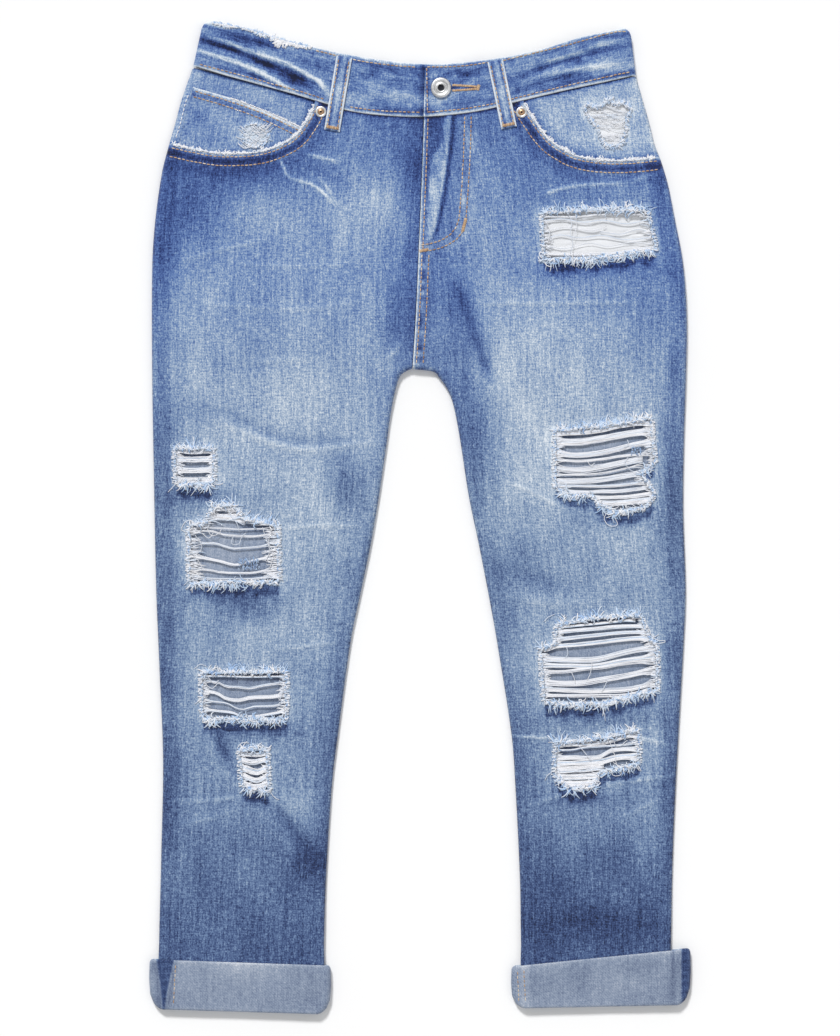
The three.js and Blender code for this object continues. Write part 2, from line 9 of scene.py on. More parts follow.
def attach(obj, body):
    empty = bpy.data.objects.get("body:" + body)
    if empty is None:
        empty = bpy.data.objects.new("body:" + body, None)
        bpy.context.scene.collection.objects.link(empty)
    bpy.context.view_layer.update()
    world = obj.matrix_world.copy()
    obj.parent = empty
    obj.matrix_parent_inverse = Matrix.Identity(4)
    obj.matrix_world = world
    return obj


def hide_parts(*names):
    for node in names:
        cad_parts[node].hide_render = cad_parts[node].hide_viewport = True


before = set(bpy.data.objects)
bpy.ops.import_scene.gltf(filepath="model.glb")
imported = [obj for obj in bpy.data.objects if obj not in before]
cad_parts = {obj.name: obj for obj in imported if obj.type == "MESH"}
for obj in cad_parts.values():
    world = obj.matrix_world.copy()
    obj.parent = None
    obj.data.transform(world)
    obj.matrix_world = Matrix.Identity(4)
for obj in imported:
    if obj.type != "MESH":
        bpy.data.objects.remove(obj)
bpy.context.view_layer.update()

bl_info = {
    "name": "Ripped jeans, laid flat",
    "version": (1, 0, 0),
    "blender": (4, 5, 0),
    "location": "View3D > Sidebar > Jeans",
    "description": "Sews a pair of ripped denim jeans around its packed frame",
    "category": "Object",
}

MM = 0.001
SIDES = ("right", "left")
SIGN = {"right": -1, "left": 1}

# ---- Sizes of the cut ----
CLOTH = 1.0
GAP = 0.35
PLY = CLOTH + GAP
BAND = 2.0
ROLL = 2.2
HEM_Y = -399.5
CROTCH_Y = 122.5
SEAT_LIFT = PLY
CUFF_LIFT = ROLL + GAP
BAND_TOP = 8.2
CUFF_HEIGHT = 8.4
HEIGHTS = {  # of the front's upper face: in the middle of the leg and at its sides, for cuff, leg, hip
    "middle": (5.8, 4.2, 7.8),
    "edge": (5.8, 6.0, 8.0),
    "share": (0.5, 0.45, 0.35),
}
SIDE_ROLL = 4.5  # how far in from a side seam the cloth turns down

OUTSEAM = {
    "right": [
        (-206.5, HEM_Y), (-215, -382), (-215.3, -349), (-213.7, -279), (-212.2, -200), (-215.3, -121),
        (-217.8, -61), (-219.5, 18), (-221.1, 117), (-221.1, 206), (-218.6, 245), (-212.9, 285),
        (-207.9, 305), (-202.1, 325), (-197, 344), (-187.3, 371.7),
    ],
    "left": [
        (199.5, HEM_Y), (206, -382), (207.1, -349), (208.7, -279), (211.2, -220), (214.5, -160),
        (217.8, -101), (219.3, -61), (217.2, 8), (217.8, 57), (219.5, 117), (220.3, 155),
        (219.3, 186), (216.2, 216), (210.6, 245), (204.6, 275), (199, 294), (193.6, 308),
        (189.4, 325), (178.2, 364.2),
    ],
}
INSEAM = {
    "right": [
        (-88.5, HEM_Y), (-80, -382), (-79.2, -349), (-77.6, -299), (-72.6, -220), (-67.8, -180),
        (-57, -101), (-48.7, -61), (-40.6, -22), (-33.8, 18), (-28.1, 57), (-23.9, 87),
        (-19.8, 107), (-15.8, 117.6), (-10, 121.5), (-6.3, CROTCH_Y),
    ],
    "left": [
        (93, HEM_Y), (84.2, -382), (83.3, -349), (82.5, -299), (78.6, -220), (75.6, -180),
        (63.3, -101), (56.1, -61), (48.5, -22), (40.2, 18), (34.2, 57), (30.3, 80), (26.4, 97),
        (22, 107), (15.4, 116), (9.9, 120.7), (-6, CROTCH_Y),
    ],
}
CENTRE_FRONT = [(-6.3, CROTCH_Y), (-3.6, 165), (-1.2, 219), (1.2, 275), (3.3, 330.4)]
WAIST_SEAM = [
    (-187.3, 371.7), (-142, 359.6), (-100, 348), (-77.6, 341), (-60, 335.6), (-33, 331.8),
    (3.3, 330.4), (40, 333.8), (62, 338), (78.4, 342.3), (125, 353.4), (178.2, 364.2),
]
WAIST_TOP = [
    (-179, 409.5), (-148.5, 404.7), (-99, 390.6), (-49.5, 379.9), (0, 374.1), (49.5, 376.6),
    (99, 385.7), (135, 396.6), (173.5, 403.6),
]
POCKET_CURVE = {
    "right": [
        (-212, 310), (-181.5, 303.2), (-159.2, 300.7), (-130.4, 302.8), (-107.3, 312.3),
        (-94.9, 326.3), (-84.5, 347),
    ],
    "left": [
        (208, 299), (180.7, 295.8), (156.8, 294.9), (133.7, 297.6), (117.6, 304.4), (103.1, 316.4),
        (82.5, 347),
    ],
}
POCKET_BAG = [
    (72, 350), (74, 262), (84, 207), (106, 186), (150, 180), (190, 186), (206, 208), (201, 264),
    (190, 302), (172, 356),
]
COIN_POCKET = [
    (-187, 355), (-159, 347), (-128, 335.8), (-95, 320.3), (-97, 290), (-196, 290), (-199, 308),
]
POCKET_LAP = 12
YOKE_SIDE = 34
YOKE_CENTRE = 64
FLY_J = [(42.4, 331), (41.4, 300), (40, 274), (37.8, 245), (34.6, 235), (29.5, 229), (22.5, 224.6),
         (15.7, 221.7), (7, 220), (-0.4, 219.2)]
FLY_J_INNER = [(36.9, 331), (35.9, 300), (34.5, 274), (32.3, 247), (29.6, 239), (25.2, 233.6), (19.6, 229.8),
               (13.5, 227.2), (6.5, 225.4), (0.6, 224.6)]
ZIP_RIDGE = [(26, 328), (23.8, 302), (20.5, 277), (17, 258), (14, 241), (9, 228)]
BUTTON = (17.3, 354.3)
RIVETS = {"right": (-81.7, 334.5), "left": (83.7, 334.1)}
BACK_POCKET = [(48, 248), (165, 264), (172, 162), (114, 128), (50, 148)]
BACK_LOOPS = {"right": -118, "centre": 0, "left": 118}
FRONT_LOOPS = {"right": ((-62.3, 379.9), (-72.6, 318.9)), "left": ((61.9, 376.6), (73.4, 321.3))}
LOOP_WIDTH = 13
CUFFS = {
    "right": ((-223.6, -405.4, -73.4, -410), (-223.6, -364.4, -73.4, -369.6)),
    "left": ((75.1, -405, 223.6, -402), (75.1, -370.4, 223.6, -355.4)),
}

# ---- The rips ----
# Each has its outline; the bands of weft across it are in WEFTS below.
RIPS = {
    "left": {
        "hip": [(101, 250.5), (143, 252.5), (187, 252), (193.5, 221.5), (148, 215), (103, 214)],
        "thigh": [
            (112, 71), (150, 74), (190, 81.5), (193, 46), (182, 36), (193, 20), (186, 9), (162, 6),
            (149, 11), (142, 18.5), (124, 19.5), (112, 26),
        ],
        "knee": [
            (113, -89.5), (150, -83), (182, -82), (189, -101), (195, -106), (195, -142), (149, -152),
            (103, -152), (100, -109), (112, -105),
        ],
        "shin": [
            (112, -187.5), (150, -183), (180, -177), (180, -202), (158, -207), (148, -210),
            (144, -221.5), (124, -223), (112, -213),
        ],
    },
    "right": {
        "pocket": [(-202, 56), (-171, 56), (-171, 29), (-201, 28)],
        "thigh": [
            (-190, -8), (-176, -4), (-171, 8), (-154, 9), (-146, -2), (-118, -8), (-117, -52),
            (-190, -53),
        ],
        "knee": [(-180, -129), (-111, -128), (-111, -165), (-179, -165)],
        "shin": [(-149, -193), (-127, -192), (-125, -225), (-146, -222)],
    },
}
FACING_RIP = [
    (137, 334), (137, 341), (145, 337), (152, 340), (158, 345), (161, 340), (168, 341), (174, 337),
    (170, 330), (170, 322), (168, 314), (164, 307), (155, 307), (150, 312), (147, 320), (142, 328),
]

# The bands of weft left across each rip, from the top down: points along a band, and its width.
WEFTS = {
    "left": {
        "hip": [
            ([(101, 248.5), (128, 248), (150, 250), (189, 250)], 1.6),
            ([(101, 244.5), (118, 246), (136, 243), (150, 245), (170, 242), (190, 246)], 1.0),
            ([(102, 236), (120, 239.5), (140, 237), (152, 239)], 1.0),
            ([(150, 236), (165, 234), (180, 238), (191, 235)], 1.0),
            ([(102, 229), (115, 233), (132, 230.5), (150, 232.5), (168, 229), (191, 231)], 1.0),
            ([(102, 224), (120, 222), (140, 226), (155, 223.5), (175, 227), (192, 225)], 1.0),
            ([(103, 217.5), (130, 217), (160, 218), (193, 223)], 2.4),
        ],
        "thigh": [
            ([(112, 70), (130, 70), (150, 72), (165, 75.5), (190, 78.5)], 3.8),
            ([(112, 62.5), (130, 62.2), (150, 65.2), (168, 68.3), (190, 71.5)], 5.6),
            ([(112, 53), (130, 51.3), (150, 53.6), (165, 57), (178, 60.3), (192, 62.5)], 4.4),
            ([(112, 47.8), (130, 46.4), (150, 48.2), (165, 50.6), (190, 52.6)], 1.8),
            ([(112, 40.5), (130, 38.6), (150, 41.3), (165, 44.6), (182, 48)], 5.0),
            ([(112, 35.2), (135, 35.4), (150, 36.7), (165, 39.6), (182, 43.5)], 1.6),
            ([(112, 30), (135, 30), (150, 31.3), (165, 33.8), (182, 36.5)], 4.6),
            ([(112, 26.2), (135, 25.8), (150, 25.8), (165, 26.6), (184, 29)], 2.0),
            ([(118, 21.8), (135, 21), (150, 21.7), (165, 22), (192, 25.5)], 2.8),
            ([(142, 17), (155, 16.6), (172, 17.2), (192, 20)], 3.0),
            ([(144, 12), (160, 11.8), (190, 14.5)], 4.6),
        ],
        "knee": [
            ([(113, -90.6), (140, -88.2), (176, -84.2)], 2.0),
            ([(112, -94.6), (140, -92.4), (165, -90), (188, -90)], 3.4),
            ([(112, -100.6), (140, -97.8), (165, -95.2), (190, -94.6)], 2.8),
            ([(104, -106.6), (130, -105), (150, -102.8), (170, -100.2), (190, -99)], 3.8),
            ([(100, -116.6), (125, -117.6), (145, -117.2), (160, -113.8), (175, -110.2), (193, -107.4)], 4.4),
            ([(100, -121.8), (125, -122.2), (145, -122.2), (165, -118.4), (192, -115)], 3.4),
            ([(100, -127.4), (118, -127.4), (138, -125), (150, -124), (165, -121.4), (192, -118.4)], 2.4),
            ([(100, -136), (120, -137.2), (135, -136.6), (150, -134), (165, -131.5), (180, -128.4),
              (193, -125)], 4.6),
            ([(101, -141.8), (120, -142.6), (140, -143.4), (155, -142.8), (170, -142), (193, -137.4)], 3.2),
            ([(101, -147), (125, -147.2), (150, -147), (170, -146.4), (190, -142)], 2.6),
        ],
        "shin": [
            ([(110, -187.6), (125, -188), (140, -187.6), (152, -186), (158, -184.4), (170, -181),
              (179, -178.6)], 2.6),
            ([(110, -191.8), (125, -191.8), (134, -190), (145, -189), (157, -188.4), (170, -187.4),
              (180, -185)], 1.6),
            ([(110, -199), (125, -198.4), (138, -198.8), (148, -198), (158, -192.6), (180, -191)], 3.4),
            ([(111, -203.6), (130, -203), (150, -201.4), (163, -198), (180, -197)], 4.6),
            ([(112, -209), (135, -207.8), (150, -206)], 4.6),
            ([(112, -214.4), (130, -214), (147, -213)], 5.0),
            ([(117, -220), (130, -220), (146, -219)], 5.0),
        ],
    },
    "right": {
        "pocket": [
            ([(-202, 55), (-188, 53.6), (-171, 55)], 2.6),
            ([(-202, 48.4), (-188, 48), (-171, 48.4)], 4.6),
            ([(-202, 39.4), (-188, 38.8), (-171, 39.6)], 4.4),
            ([(-202, 31), (-188, 30.6), (-171, 31)], 4.4),
        ],
        "thigh": [
            ([(-172, 8), (-165, 7.6), (-153, 7.4)], 3.4),
            ([(-182, -1.4), (-168, 0.2), (-158, 0), (-146, -2.6)], 5.2),
            ([(-190, -7.6), (-175, -8.2), (-160, -9), (-148, -9.6), (-118, -9)], 1.2),
            ([(-190, -11), (-172, -11.6), (-163, -14), (-150, -15.4), (-135, -15.6), (-118, -13)], 1.4),
            ([(-190, -21), (-175, -21.4), (-168, -21.6), (-155, -25.4), (-145, -25), (-130, -23.4),
              (-117, -20)], 1.4),
            ([(-190, -31), (-178, -33.4), (-165, -36), (-152, -39), (-140, -36), (-117, -31)], 1.8),
            ([(-190, -42), (-175, -43.4), (-165, -45.2), (-150, -45.8), (-135, -45.2), (-117, -41)], 1.4),
            ([(-190, -50.4), (-160, -51.2), (-140, -51), (-117, -48)], 2.0),
        ],
        "knee": [
            ([(-180, -130.8), (-165, -130.8), (-150, -131.3), (-135, -131.4), (-111, -130.8)], 1.6),
            ([(-180, -135), (-167, -136), (-160, -139.4), (-150, -140), (-141, -141), (-130, -138.6),
              (-120, -137.2), (-111, -135.6)], 1.5),
            ([(-180, -143), (-168, -145), (-160, -149.6), (-150, -151), (-140, -148.8), (-120, -147.8),
              (-111, -145)], 2.8),
            ([(-180, -151), (-160, -153), (-152, -157), (-146, -158.4), (-138, -156), (-120, -155.4),
              (-111, -153)], 1.5),
            ([(-180, -158.4), (-165, -160), (-155, -161), (-148, -163.8), (-135, -163.8), (-111, -160)], 1.8),
        ],
        "shin": [
            ([(-150, -195.6), (-138, -196), (-126, -195)], 3.4),
            ([(-150, -199.6), (-138, -202), (-126, -199.4)], 4.0),
            ([(-149, -205.4), (-135, -210), (-126, -206.4)], 5.2),
            ([(-148, -212), (-135, -217), (-126, -213)], 3.8),
            ([(-147, -219), (-136, -222), (-125, -219.4)], 4.4),
        ],
    },
}
FAN = {  # how far in from a rip's sides its yarns are still spread out, as a share of its width
    "hip": 0.06, "thigh": 0.13, "knee": 0.13, "shin": 0.16, "pocket": 0.2,
}
# Loose ends and loops of yarn, as points across the cloth.
LOOSE = {
    "left": [
        [(154, 4), (152, -2), (157, -7), (163, -6), (160, 2)],
        [(172, 50), (169, 45), (173, 40), (176, 38)],
        [(171, 64), (172, 61), (168, 58), (164, 54)],
        [(138, 47), (141, 43), (144, 45)],
        [(102, -86), (106, -82), (111, -80)],
        [(185, -84), (189, -92), (192, -98), (197, -97)],
        [(190, -98), (196, -101), (203, -102), (197, -104), (191, -103)],
        [(190, -100), (195, -106), (196, -111)],
        [(142, -119), (141, -127), (138, -134)],
        [(125, -128), (127, -132), (128, -137)],
        [(120, -116), (122, -112), (121, -107)],
        [(144, -148), (149, -155), (152, -162), (153, -168)],
        [(155, -134), (152, -140), (150, -144)],
        [(131, -188), (136, -194), (141, -201)],
        [(156, -184), (160, -194), (162, -203), (165, -210)],
        [(160, -184), (163, -189), (171, -184)],
        [(103, -217), (106, -212), (113, -208)],
        [(141, -221), (143, -226), (146, -229)],
        [(157, -208), (160, -213), (166, -212), (165, -207)],
        [(122, 251), (125, 243), (124, 234), (126, 226), (124, 218)],
        [(128, 250), (129, 240), (127, 229)],
        [(103, 246), (107, 236), (105, 226)],
    ],
    "right": [
        [(-208, 21), (-202, 27), (-197, 31)],
        [(-189, 18), (-185, 24), (-183, 33)],
        [(-198, 62), (-202, 57), (-200, 47), (-196, 40)],
        [(-197, -10), (-194, -4), (-189, -2), (-188, -8), (-193, -12), (-197, -10)],
        [(-180, -2), (-178, -9), (-174, -6), (-177, -1), (-181, -4)],
        [(-176, -8), (-172, -15), (-166, -13), (-164, -10)],
        [(-170, -11), (-174, -17), (-180, -13)],
        [(-154, -15), (-156, -21), (-150, -22), (-147, -16), (-144, -13)],
        [(-192, -21), (-188, -29), (-183, -36), (-180, -42)],
        [(-149, 7), (-144, 2), (-140, 6)],
        [(-158, 6), (-155, 0), (-151, -5), (-149, -12)],
        [(-195, -56), (-190, -52), (-184, -54)],
        [(-184, -30), (-180, -25), (-182, -19), (-186, -14)],
        [(-130, -8), (-127, -18), (-124, -28), (-128, -36)],
        [(-122, -10), (-125, -20), (-121, -30), (-124, -42)],
        [(-186, -125), (-181, -121), (-176, -123)],
        [(-186, -154), (-181, -150), (-177, -147)],
        [(-176, -130), (-170, -137), (-166, -134)],
        [(-178, -136), (-172, -141), (-167, -137)],
        [(-116, -134), (-113, -142), (-116, -151)],
        [(-124, -226), (-120, -231), (-116, -233)],
        [(-151, -191), (-147, -186), (-141, -186)],
    ],
}
# Scraps of the blue cloth still held by the yarns: centre and half sizes.
SCRAPS = {"left": [(178.5, 55, 4.2, 3.2), (187, 36, 3.6, 8)], "right": [(-141, -38, 8.4, 4.2)]}


# ---- Numbers ----
def smooth(low, high, x):
    t = np.clip((np.asarray(x, float) - low) / (high - low), 0, 1)
    return t * t * (3 - 2 * t)


def line_through(points, key=1):
    """A smooth line through points: the other coordinate at any place along one of them."""
    table = np.array(points, float)
    k, v = table[:, key], table[:, 1 - key]
    n = len(k)
    before = np.maximum(np.arange(n) - 1, 0)
    after = np.minimum(np.arange(n) + 1, n - 1)
    slope = (v[after] - v[before]) / (k[after] - k[before])

    def at(place):
        place = np.asarray(place, float)
        i = np.clip(np.searchsorted(k, place, side="right") - 1, 0, n - 2)
        h = k[i + 1] - k[i]
        t = np.clip((place - k[i]) / h, 0, 1)
        return (
            (2 * t**3 - 3 * t**2 + 1) * v[i]
            + (t**3 - 2 * t**2 + t) * h * slope[i]
            + (3 * t**2 - 2 * t**3) * v[i + 1]
            + (t**3 - t**2) * h * slope[i + 1]
        )

    return at


def bump(value, centre, half):
    """A smooth bump: 1 at the centre, falling away over a half width."""
    return np.exp(-(((value - centre) / half) ** 2))


def soft_noise(x, y, size, seed):
    """Smooth noise from -1 to 1, in lumps of the given size: a number, or one along each axis."""
    along, up = size if isinstance(size, tuple) else (size, size)
    lattice = np.random.default_rng(seed).uniform(-1, 1, (64, 64))
    u = np.asarray(x, float) / along + 640
    v = np.asarray(y, float) / up + 640
    i, j = np.floor(u).astype(int), np.floor(v).astype(int)
    s, t = u - i, v - j
    s, t = s * s * (3 - 2 * s), t * t * (3 - 2 * t)
    i, j = i % 64, j % 64
    i2, j2 = (i + 1) % 64, (j + 1) % 64
    low = lattice[i, j] * (1 - s) + lattice[i2, j] * s
    high = lattice[i, j2] * (1 - s) + lattice[i2, j2] * s
    return low * (1 - t) + high * t


def curve_through(points, step, closed=False):
    """A smooth curve through points, as points an even step apart."""
    p = np.array(points, float)
    n = len(p)
    spans = n if closed else n - 1
    t = np.linspace(0, 1, 24, endpoint=False)[:, None]
    out = []
    for i in range(spans):
        if closed:
            a, b, c, d = p[i - 1], p[i], p[(i + 1) % n], p[(i + 2) % n]
        else:
            a, b, c, d = p[max(i - 1, 0)], p[i], p[i + 1], p[min(i + 2, n - 1)]
        out.append(
            0.5 * (2 * b + (c - a) * t + (2 * a - 5 * b + 4 * c - d) * t**2 + (3 * b - a - 3 * c + d) * t**3)
        )
    out.append(p[:1] if closed else p[-1:])
    return resample(np.vstack(out), step)


def resample(points, step):
    """A polyline's points, moved to an even step along it."""
    p = np.array(points, float)
    gaps = np.hypot(*(p[1:] - p[:-1]).T[:2])
    place = np.concatenate([[0], np.cumsum(gaps)])
    count = max(2, int(round(place[-1] / step)) + 1)
    new = np.linspace(0, place[-1], count)
    return np.stack([np.interp(new, place, p[:, k]) for k in range(p.shape[1])], axis=1)


def distance_to(x, y, line):
    """How far points are from a polyline, with + on its left and - on its right."""
    best = np.full(np.shape(x), 1e9)
    sign = np.ones(np.shape(x))
    for (ax, ay), (bx, by) in zip(line[:-1], line[1:]):
        dx, dy = bx - ax, by - ay
        t = np.clip(((x - ax) * dx + (y - ay) * dy) / (dx * dx + dy * dy + 1e-12), 0, 1)
        far = np.hypot(x - ax - t * dx, y - ay - t * dy)
        closer = far < best
        best = np.where(closer, far, best)
        sign = np.where(closer, np.sign(dx * (y - ay) - dy * (x - ax)), sign)
    return best * np.where(sign == 0, 1, sign)


def inside(x, y, outline):
    """True for the points inside a closed outline."""
    within = np.zeros(np.shape(x), bool)
    p = np.asarray(outline, float)
    for (ax, ay), (bx, by) in zip(p, np.roll(p, -1, axis=0)):
        if ay == by:
            continue
        crosses = ((ay > y) != (by > y)) & (x < (bx - ax) * (y - ay) / (by - ay) + ax)
        within ^= crosses
    return within


def spans_at(outline, y):
    """Where a level line at y enters and leaves a closed outline: the widest span, or None."""
    p = np.asarray(outline, float)
    found = []
    for (ax, ay), (bx, by) in zip(p, np.roll(p, -1, axis=0)):
        if (ay > y) != (by > y):
            found.append(ax + (y - ay) * (bx - ax) / (by - ay))
    found.sort()
    return (found[0], found[-1]) if len(found) > 1 else None


def ragged(outline, step, amount, seed):
    """A closed outline with its edge torn by a small amount."""
    ring = resample(list(outline) + [outline[0]], step)[:-1]
    rng = np.random.default_rng(seed)
    return ring + rng.uniform(-amount, amount, ring.shape)


# ---- The form that the cloth follows ----
out_x = {s: line_through(OUTSEAM[s]) for s in SIDES}
leg_x = {s: line_through(INSEAM[s]) for s in SIDES}
centre_x = line_through(CENTRE_FRONT)
waist_seam = line_through(WAIST_SEAM, 0)
waist_top = line_through(WAIST_TOP, 0)
TOP_Y = {s: OUTSEAM[s][-1][1] for s in SIDES}


def inner_x(y, side):
    return np.where(np.asarray(y) < CROTCH_Y, leg_x[side](y), centre_x(y))


def edge_line(side, part):
    if part == "out":
        y = np.arange(HEM_Y, TOP_Y[side], 6.0)
        return np.stack([out_x[side](y), y], 1)
    y = np.concatenate([np.arange(HEM_Y, 100, 6.0), np.arange(100, CROTCH_Y, 1.2), [CROTCH_Y]])
    return np.stack([leg_x[side](y), y], 1)


OUT_LINE = {s: edge_line(s, "out") for s in SIDES}
IN_LINE = {s: edge_line(s, "in") for s in SIDES}
POCKET_LINE = {s: curve_through(POCKET_CURVE[s], 4) for s in SIDES}
RIP_LINES = {
    s: {n: resample(list(o) + [o[0]], 4) for n, o in RIPS[s].items()} for s in SIDES
}
ZIP_LINE = resample(ZIP_RIDGE, 8)

# The main creases: a line of points, its half width, its height (a trough is negative) and how much
# paler it is: worn and partly painted highlight on the ridges, painted shade in the troughs.
CREASES = [
    # shin and knee folds of the right leg
    ([(-169, -174), (-163, -190), (-152, -210)], 4.2, -1.3, -0.15),
    ([(-178, -172), (-173, -190), (-163, -212)], 5.5, 0.7, 0.04),
    ([(-158, -168), (-152, -184), (-150, -196)], 5.5, 0.6, 0.04),
    ([(-131, -231), (-112, -250), (-84, -287)], 5.5, -1.3, -0.12),
    ([(-124, -232), (-108, -236), (-90, -232)], 7, 0.6, 0.07),
    ([(-111, -9), (-82, -6.5), (-50, -7)], 3, 0.35, 0.07),
    ([(-119, -108), (-92, -106), (-67, -102)], 3, 0.35, 0.06),
    ([(-141, 70), (-112, 60), (-89, 56.5), (-33, 63)], 4, 0.35, 0.05),
    ([(-206, -233), (-178, -234), (-149, -230)], 3, 0.3, 0.06),
    ([(-195, -253), (-170, -247), (-152, -241)], 3, 0.3, 0.06),
    ([(-64, 46), (-56, 30), (-58, 12)], 12, -0.7, -0.10),
    ([(-150, -70), (-136, -82)], 9, -0.5, -0.10),
    ([(-178, 91), (-150, 81), (-130, 71.5), (-105, 63.5), (-64, 64)], 4.5, -0.4, -0.075),
    ([(-170, 82), (-140, 68), (-110, 57), (-70, 54)], 4.5, 0.3, 0.04),
    ([(-165, 128), (-140, 125), (-118, 127)], 5, -0.3, -0.045),
    ([(-205, 100), (-190, 88), (-172, 84)], 6, -0.3, -0.05),
    # the right hip
    ([(-116.5, 297), (-112, 288), (-107.6, 280.5), (-90, 275), (-80, 268), (-71, 258)], 2.0, 0.6, 0.24),
    ([(-94, 300), (-80, 296.5), (-66, 293.5)], 2.2, 0.6, 0.22),
    ([(-84, 281), (-75, 270), (-68, 257)], 1.8, 0.4, 0.12),
    ([(-100, 286), (-80, 285), (-60, 272)], 7, -0.6, -0.10),
    ([(-199, 211), (-164, 221), (-131, 228)], 3, 0.3, 0.06),
    ([(-150, 209), (-100, 207), (-60, 209)], 3, 0.25, 0.04),
    ([(-144, 127), (-94, 131)], 4, 0.3, 0.05),
    ([(-178, 176), (-100, 172), (-50, 178)], 4, 0.25, 0.04),
    ([(-40, 205), (-25, 178), (-20, 150)], 9, -0.5, -0.07),
    # the left leg
    ([(76, 28), (97, 19), (117, 7)], 3, 0.4, 0.07),
    ([(60, -40), (95, -50), (133, -58)], 7, -0.7, -0.07),
    ([(58, -62), (90, -68), (140, -72)], 5, 0.5, 0.05),
    ([(77, -181), (93, -181), (109, -182.5)], 2.0, 0.5, 0.17),
    ([(178, -182), (192, -184), (207, -188)], 2.5, 0.45, 0.10),
    ([(94, -236), (132, -224.5), (170, -218), (208, -213)], 3, 0.35, 0.07),
    ([(165, -250), (185, -238), (207, -230)], 3, 0.3, 0.05),
    ([(88, -343), (140, -330), (206, -335)], 9, -0.6, -0.06),
    # the left hip and the crotch
    ([(30, 196), (37, 176), (47, 146), (55, 123), (66, 110)], 4.5, -1.2, -0.16),
    ([(50, 176.5), (110, 177), (176, 177)], 3, 0.3, 0.05),
    ([(101, 266), (116, 271), (133, 274), (165, 275.5)], 2.2, 0.5, 0.16),
    ([(165, 276), (184, 280), (202, 285)], 4, 0.4, 0.10),
    ([(20, 140), (35, 118), (42, 95)], 8, -0.5, -0.06),
    ([(-12, 150), (-20, 138), (-30, 128)], 4, 0.5, 0.08),
]
CREASES = [(curve_through(p, 5), w * (0.62 if 0 < h and w < 5 else 1), h, pale * (1.25 if h > 0 else 1))
           for p, w, h, pale in CREASES]
# The waistband's creases, in the same columns: worn and partly painted highlight on the ridges, painted shade in
# the troughs.
BAND_CREASES = [
    ([(-168, 397), (-150, 388), (-130, 381), (-110, 374.5), (-96, 367), (-84, 360), (-76, 350)], 1.8, 1.1, 0.30),
    ([(-182, 396), (-160, 388), (-140, 380), (-118, 370), (-100, 362.5), (-88, 358)], 3.2, -1.6, -0.34),
    ([(-186, 386), (-165, 380), (-150, 375), (-130, 366), (-115, 357.5), (-104, 352)], 1.8, 1.0, 0.28),
    ([(-150, 370.5), (-130, 361), (-114, 353)], 1.5, -0.8, -0.20),
    ([(-172, 402), (-140, 393), (-118, 387)], 3, -0.6, -0.16),
    ([(102, 375), (125, 382), (165, 395)], 2.0, 0.9, 0.24),
    ([(84, 365), (110, 374), (160, 389.5)], 3.6, -1.3, -0.20),
    ([(98, 364), (125, 369), (156, 373.5), (177, 371)], 2.2, 0.8, 0.20),
    ([(80, 352), (110, 361), (140, 366)], 3, -0.5, -0.10),
    ([(-50, 352), (-20, 349), (0, 350)], 3, 0.4, 0.10),
    ([(-50, 362), (-30, 368), (-5, 366)], 4, -0.4, -0.10),
    ([(24, 366), (45, 366), (58, 371)], 3, -0.5, -0.14),
    ([(-120, 361), (-98, 357), (-80, 347)], 2, -0.5, -0.14),
]
BAND_CREASES = [(curve_through(p, 5), w, 1.3 * h, 1.35 * pale) for p, w, h, pale in BAND_CREASES]


def creased(x, y, table, what):
    """The sum of the creases at each point: their heights (what = 2) or how pale they are (what = 3)."""
    total = np.zeros(np.shape(x))
    for line, half, *amounts in table:
        low, high = line.min(0) - 4 * half, line.max(0) + 4 * half
        near = (x > low[0]) & (x < high[0]) & (y > low[1]) & (y < high[1])
        if not near.any():
            continue
        px, py = x[near], y[near]
        off = distance_to(px, py, line) / half
        ends = np.minimum(
            np.hypot(px - line[0][0], py - line[0][1]), np.hypot(px - line[-1][0], py - line[-1][1])
        )
        fade_out = 0.35 + 0.65 * smooth(0, 5 * half, ends)
        uneven = 1 + 0.35 * soft_noise(px, py, 9, 5)
        total[near] += amounts[what - 2] * np.exp(-(off**2)) * fade_out * uneven
    return total


def zone(key, y):
    cuff, leg, hip = HEIGHTS[key]
    low = cuff + (leg - cuff) * smooth(-352, -295, y)
    return low + (hip - low) * smooth(55, 165, y)


def lift(y):
    return CUFF_LIFT * (1 - smooth(-348, -300, y)) + SEAT_LIFT * smooth(55, 112, y)


def seam_height(y):
    low = lift(y)
    return low + (zone("edge", y) - low) * zone("share", y)


def rolled(x, y, side):
    """How far round its side fold the cloth is: 0 at the seam, 1 once it lies flat."""
    near = np.minimum(np.abs(distance_to(x, y, OUT_LINE[side])), np.abs(distance_to(x, y, IN_LINE[side])))
    t = np.clip(near / SIDE_ROLL, 0, 1)
    return np.sqrt(np.clip(1 - (1 - t) ** 2, 0, 1))


def rip_distance(x, y, side):
    """Distance to the nearest rip."""
    best = np.full(np.shape(x), 1e3)
    for line in RIP_LINES[side].values():
        low, high = line.min(0) - 40, line.max(0) + 40
        near = (x > low[0]) & (x < high[0]) & (y > low[1]) & (y < high[1])
        if near.any():
            best[near] = np.minimum(best[near], np.abs(distance_to(x[near], y[near], line)))
    return best


def front_plain(x, y, side):
    """The front's upper face, with its creases but not its seams and edges."""
    out, inner = out_x[side](y), inner_x(y, side)
    share = np.clip((x - out) / (inner - out), 0, 1)
    sideways = np.abs(2 * share - 1) ** 4
    z = zone("middle", y) + (zone("edge", y) - zone("middle", y)) * sideways
    z = z + creased(x, y, CREASES, 2)
    z = z + 0.30 * soft_noise(x, y, (46, 60), 11) + 0.14 * soft_noise(x, y, (15, 21), 12)
    seam_waves = np.exp(-np.abs(np.abs(x - out) - 5) / 7)
    return z + 0.28 * seam_waves * soft_noise(x, y, (30, 7), 13)


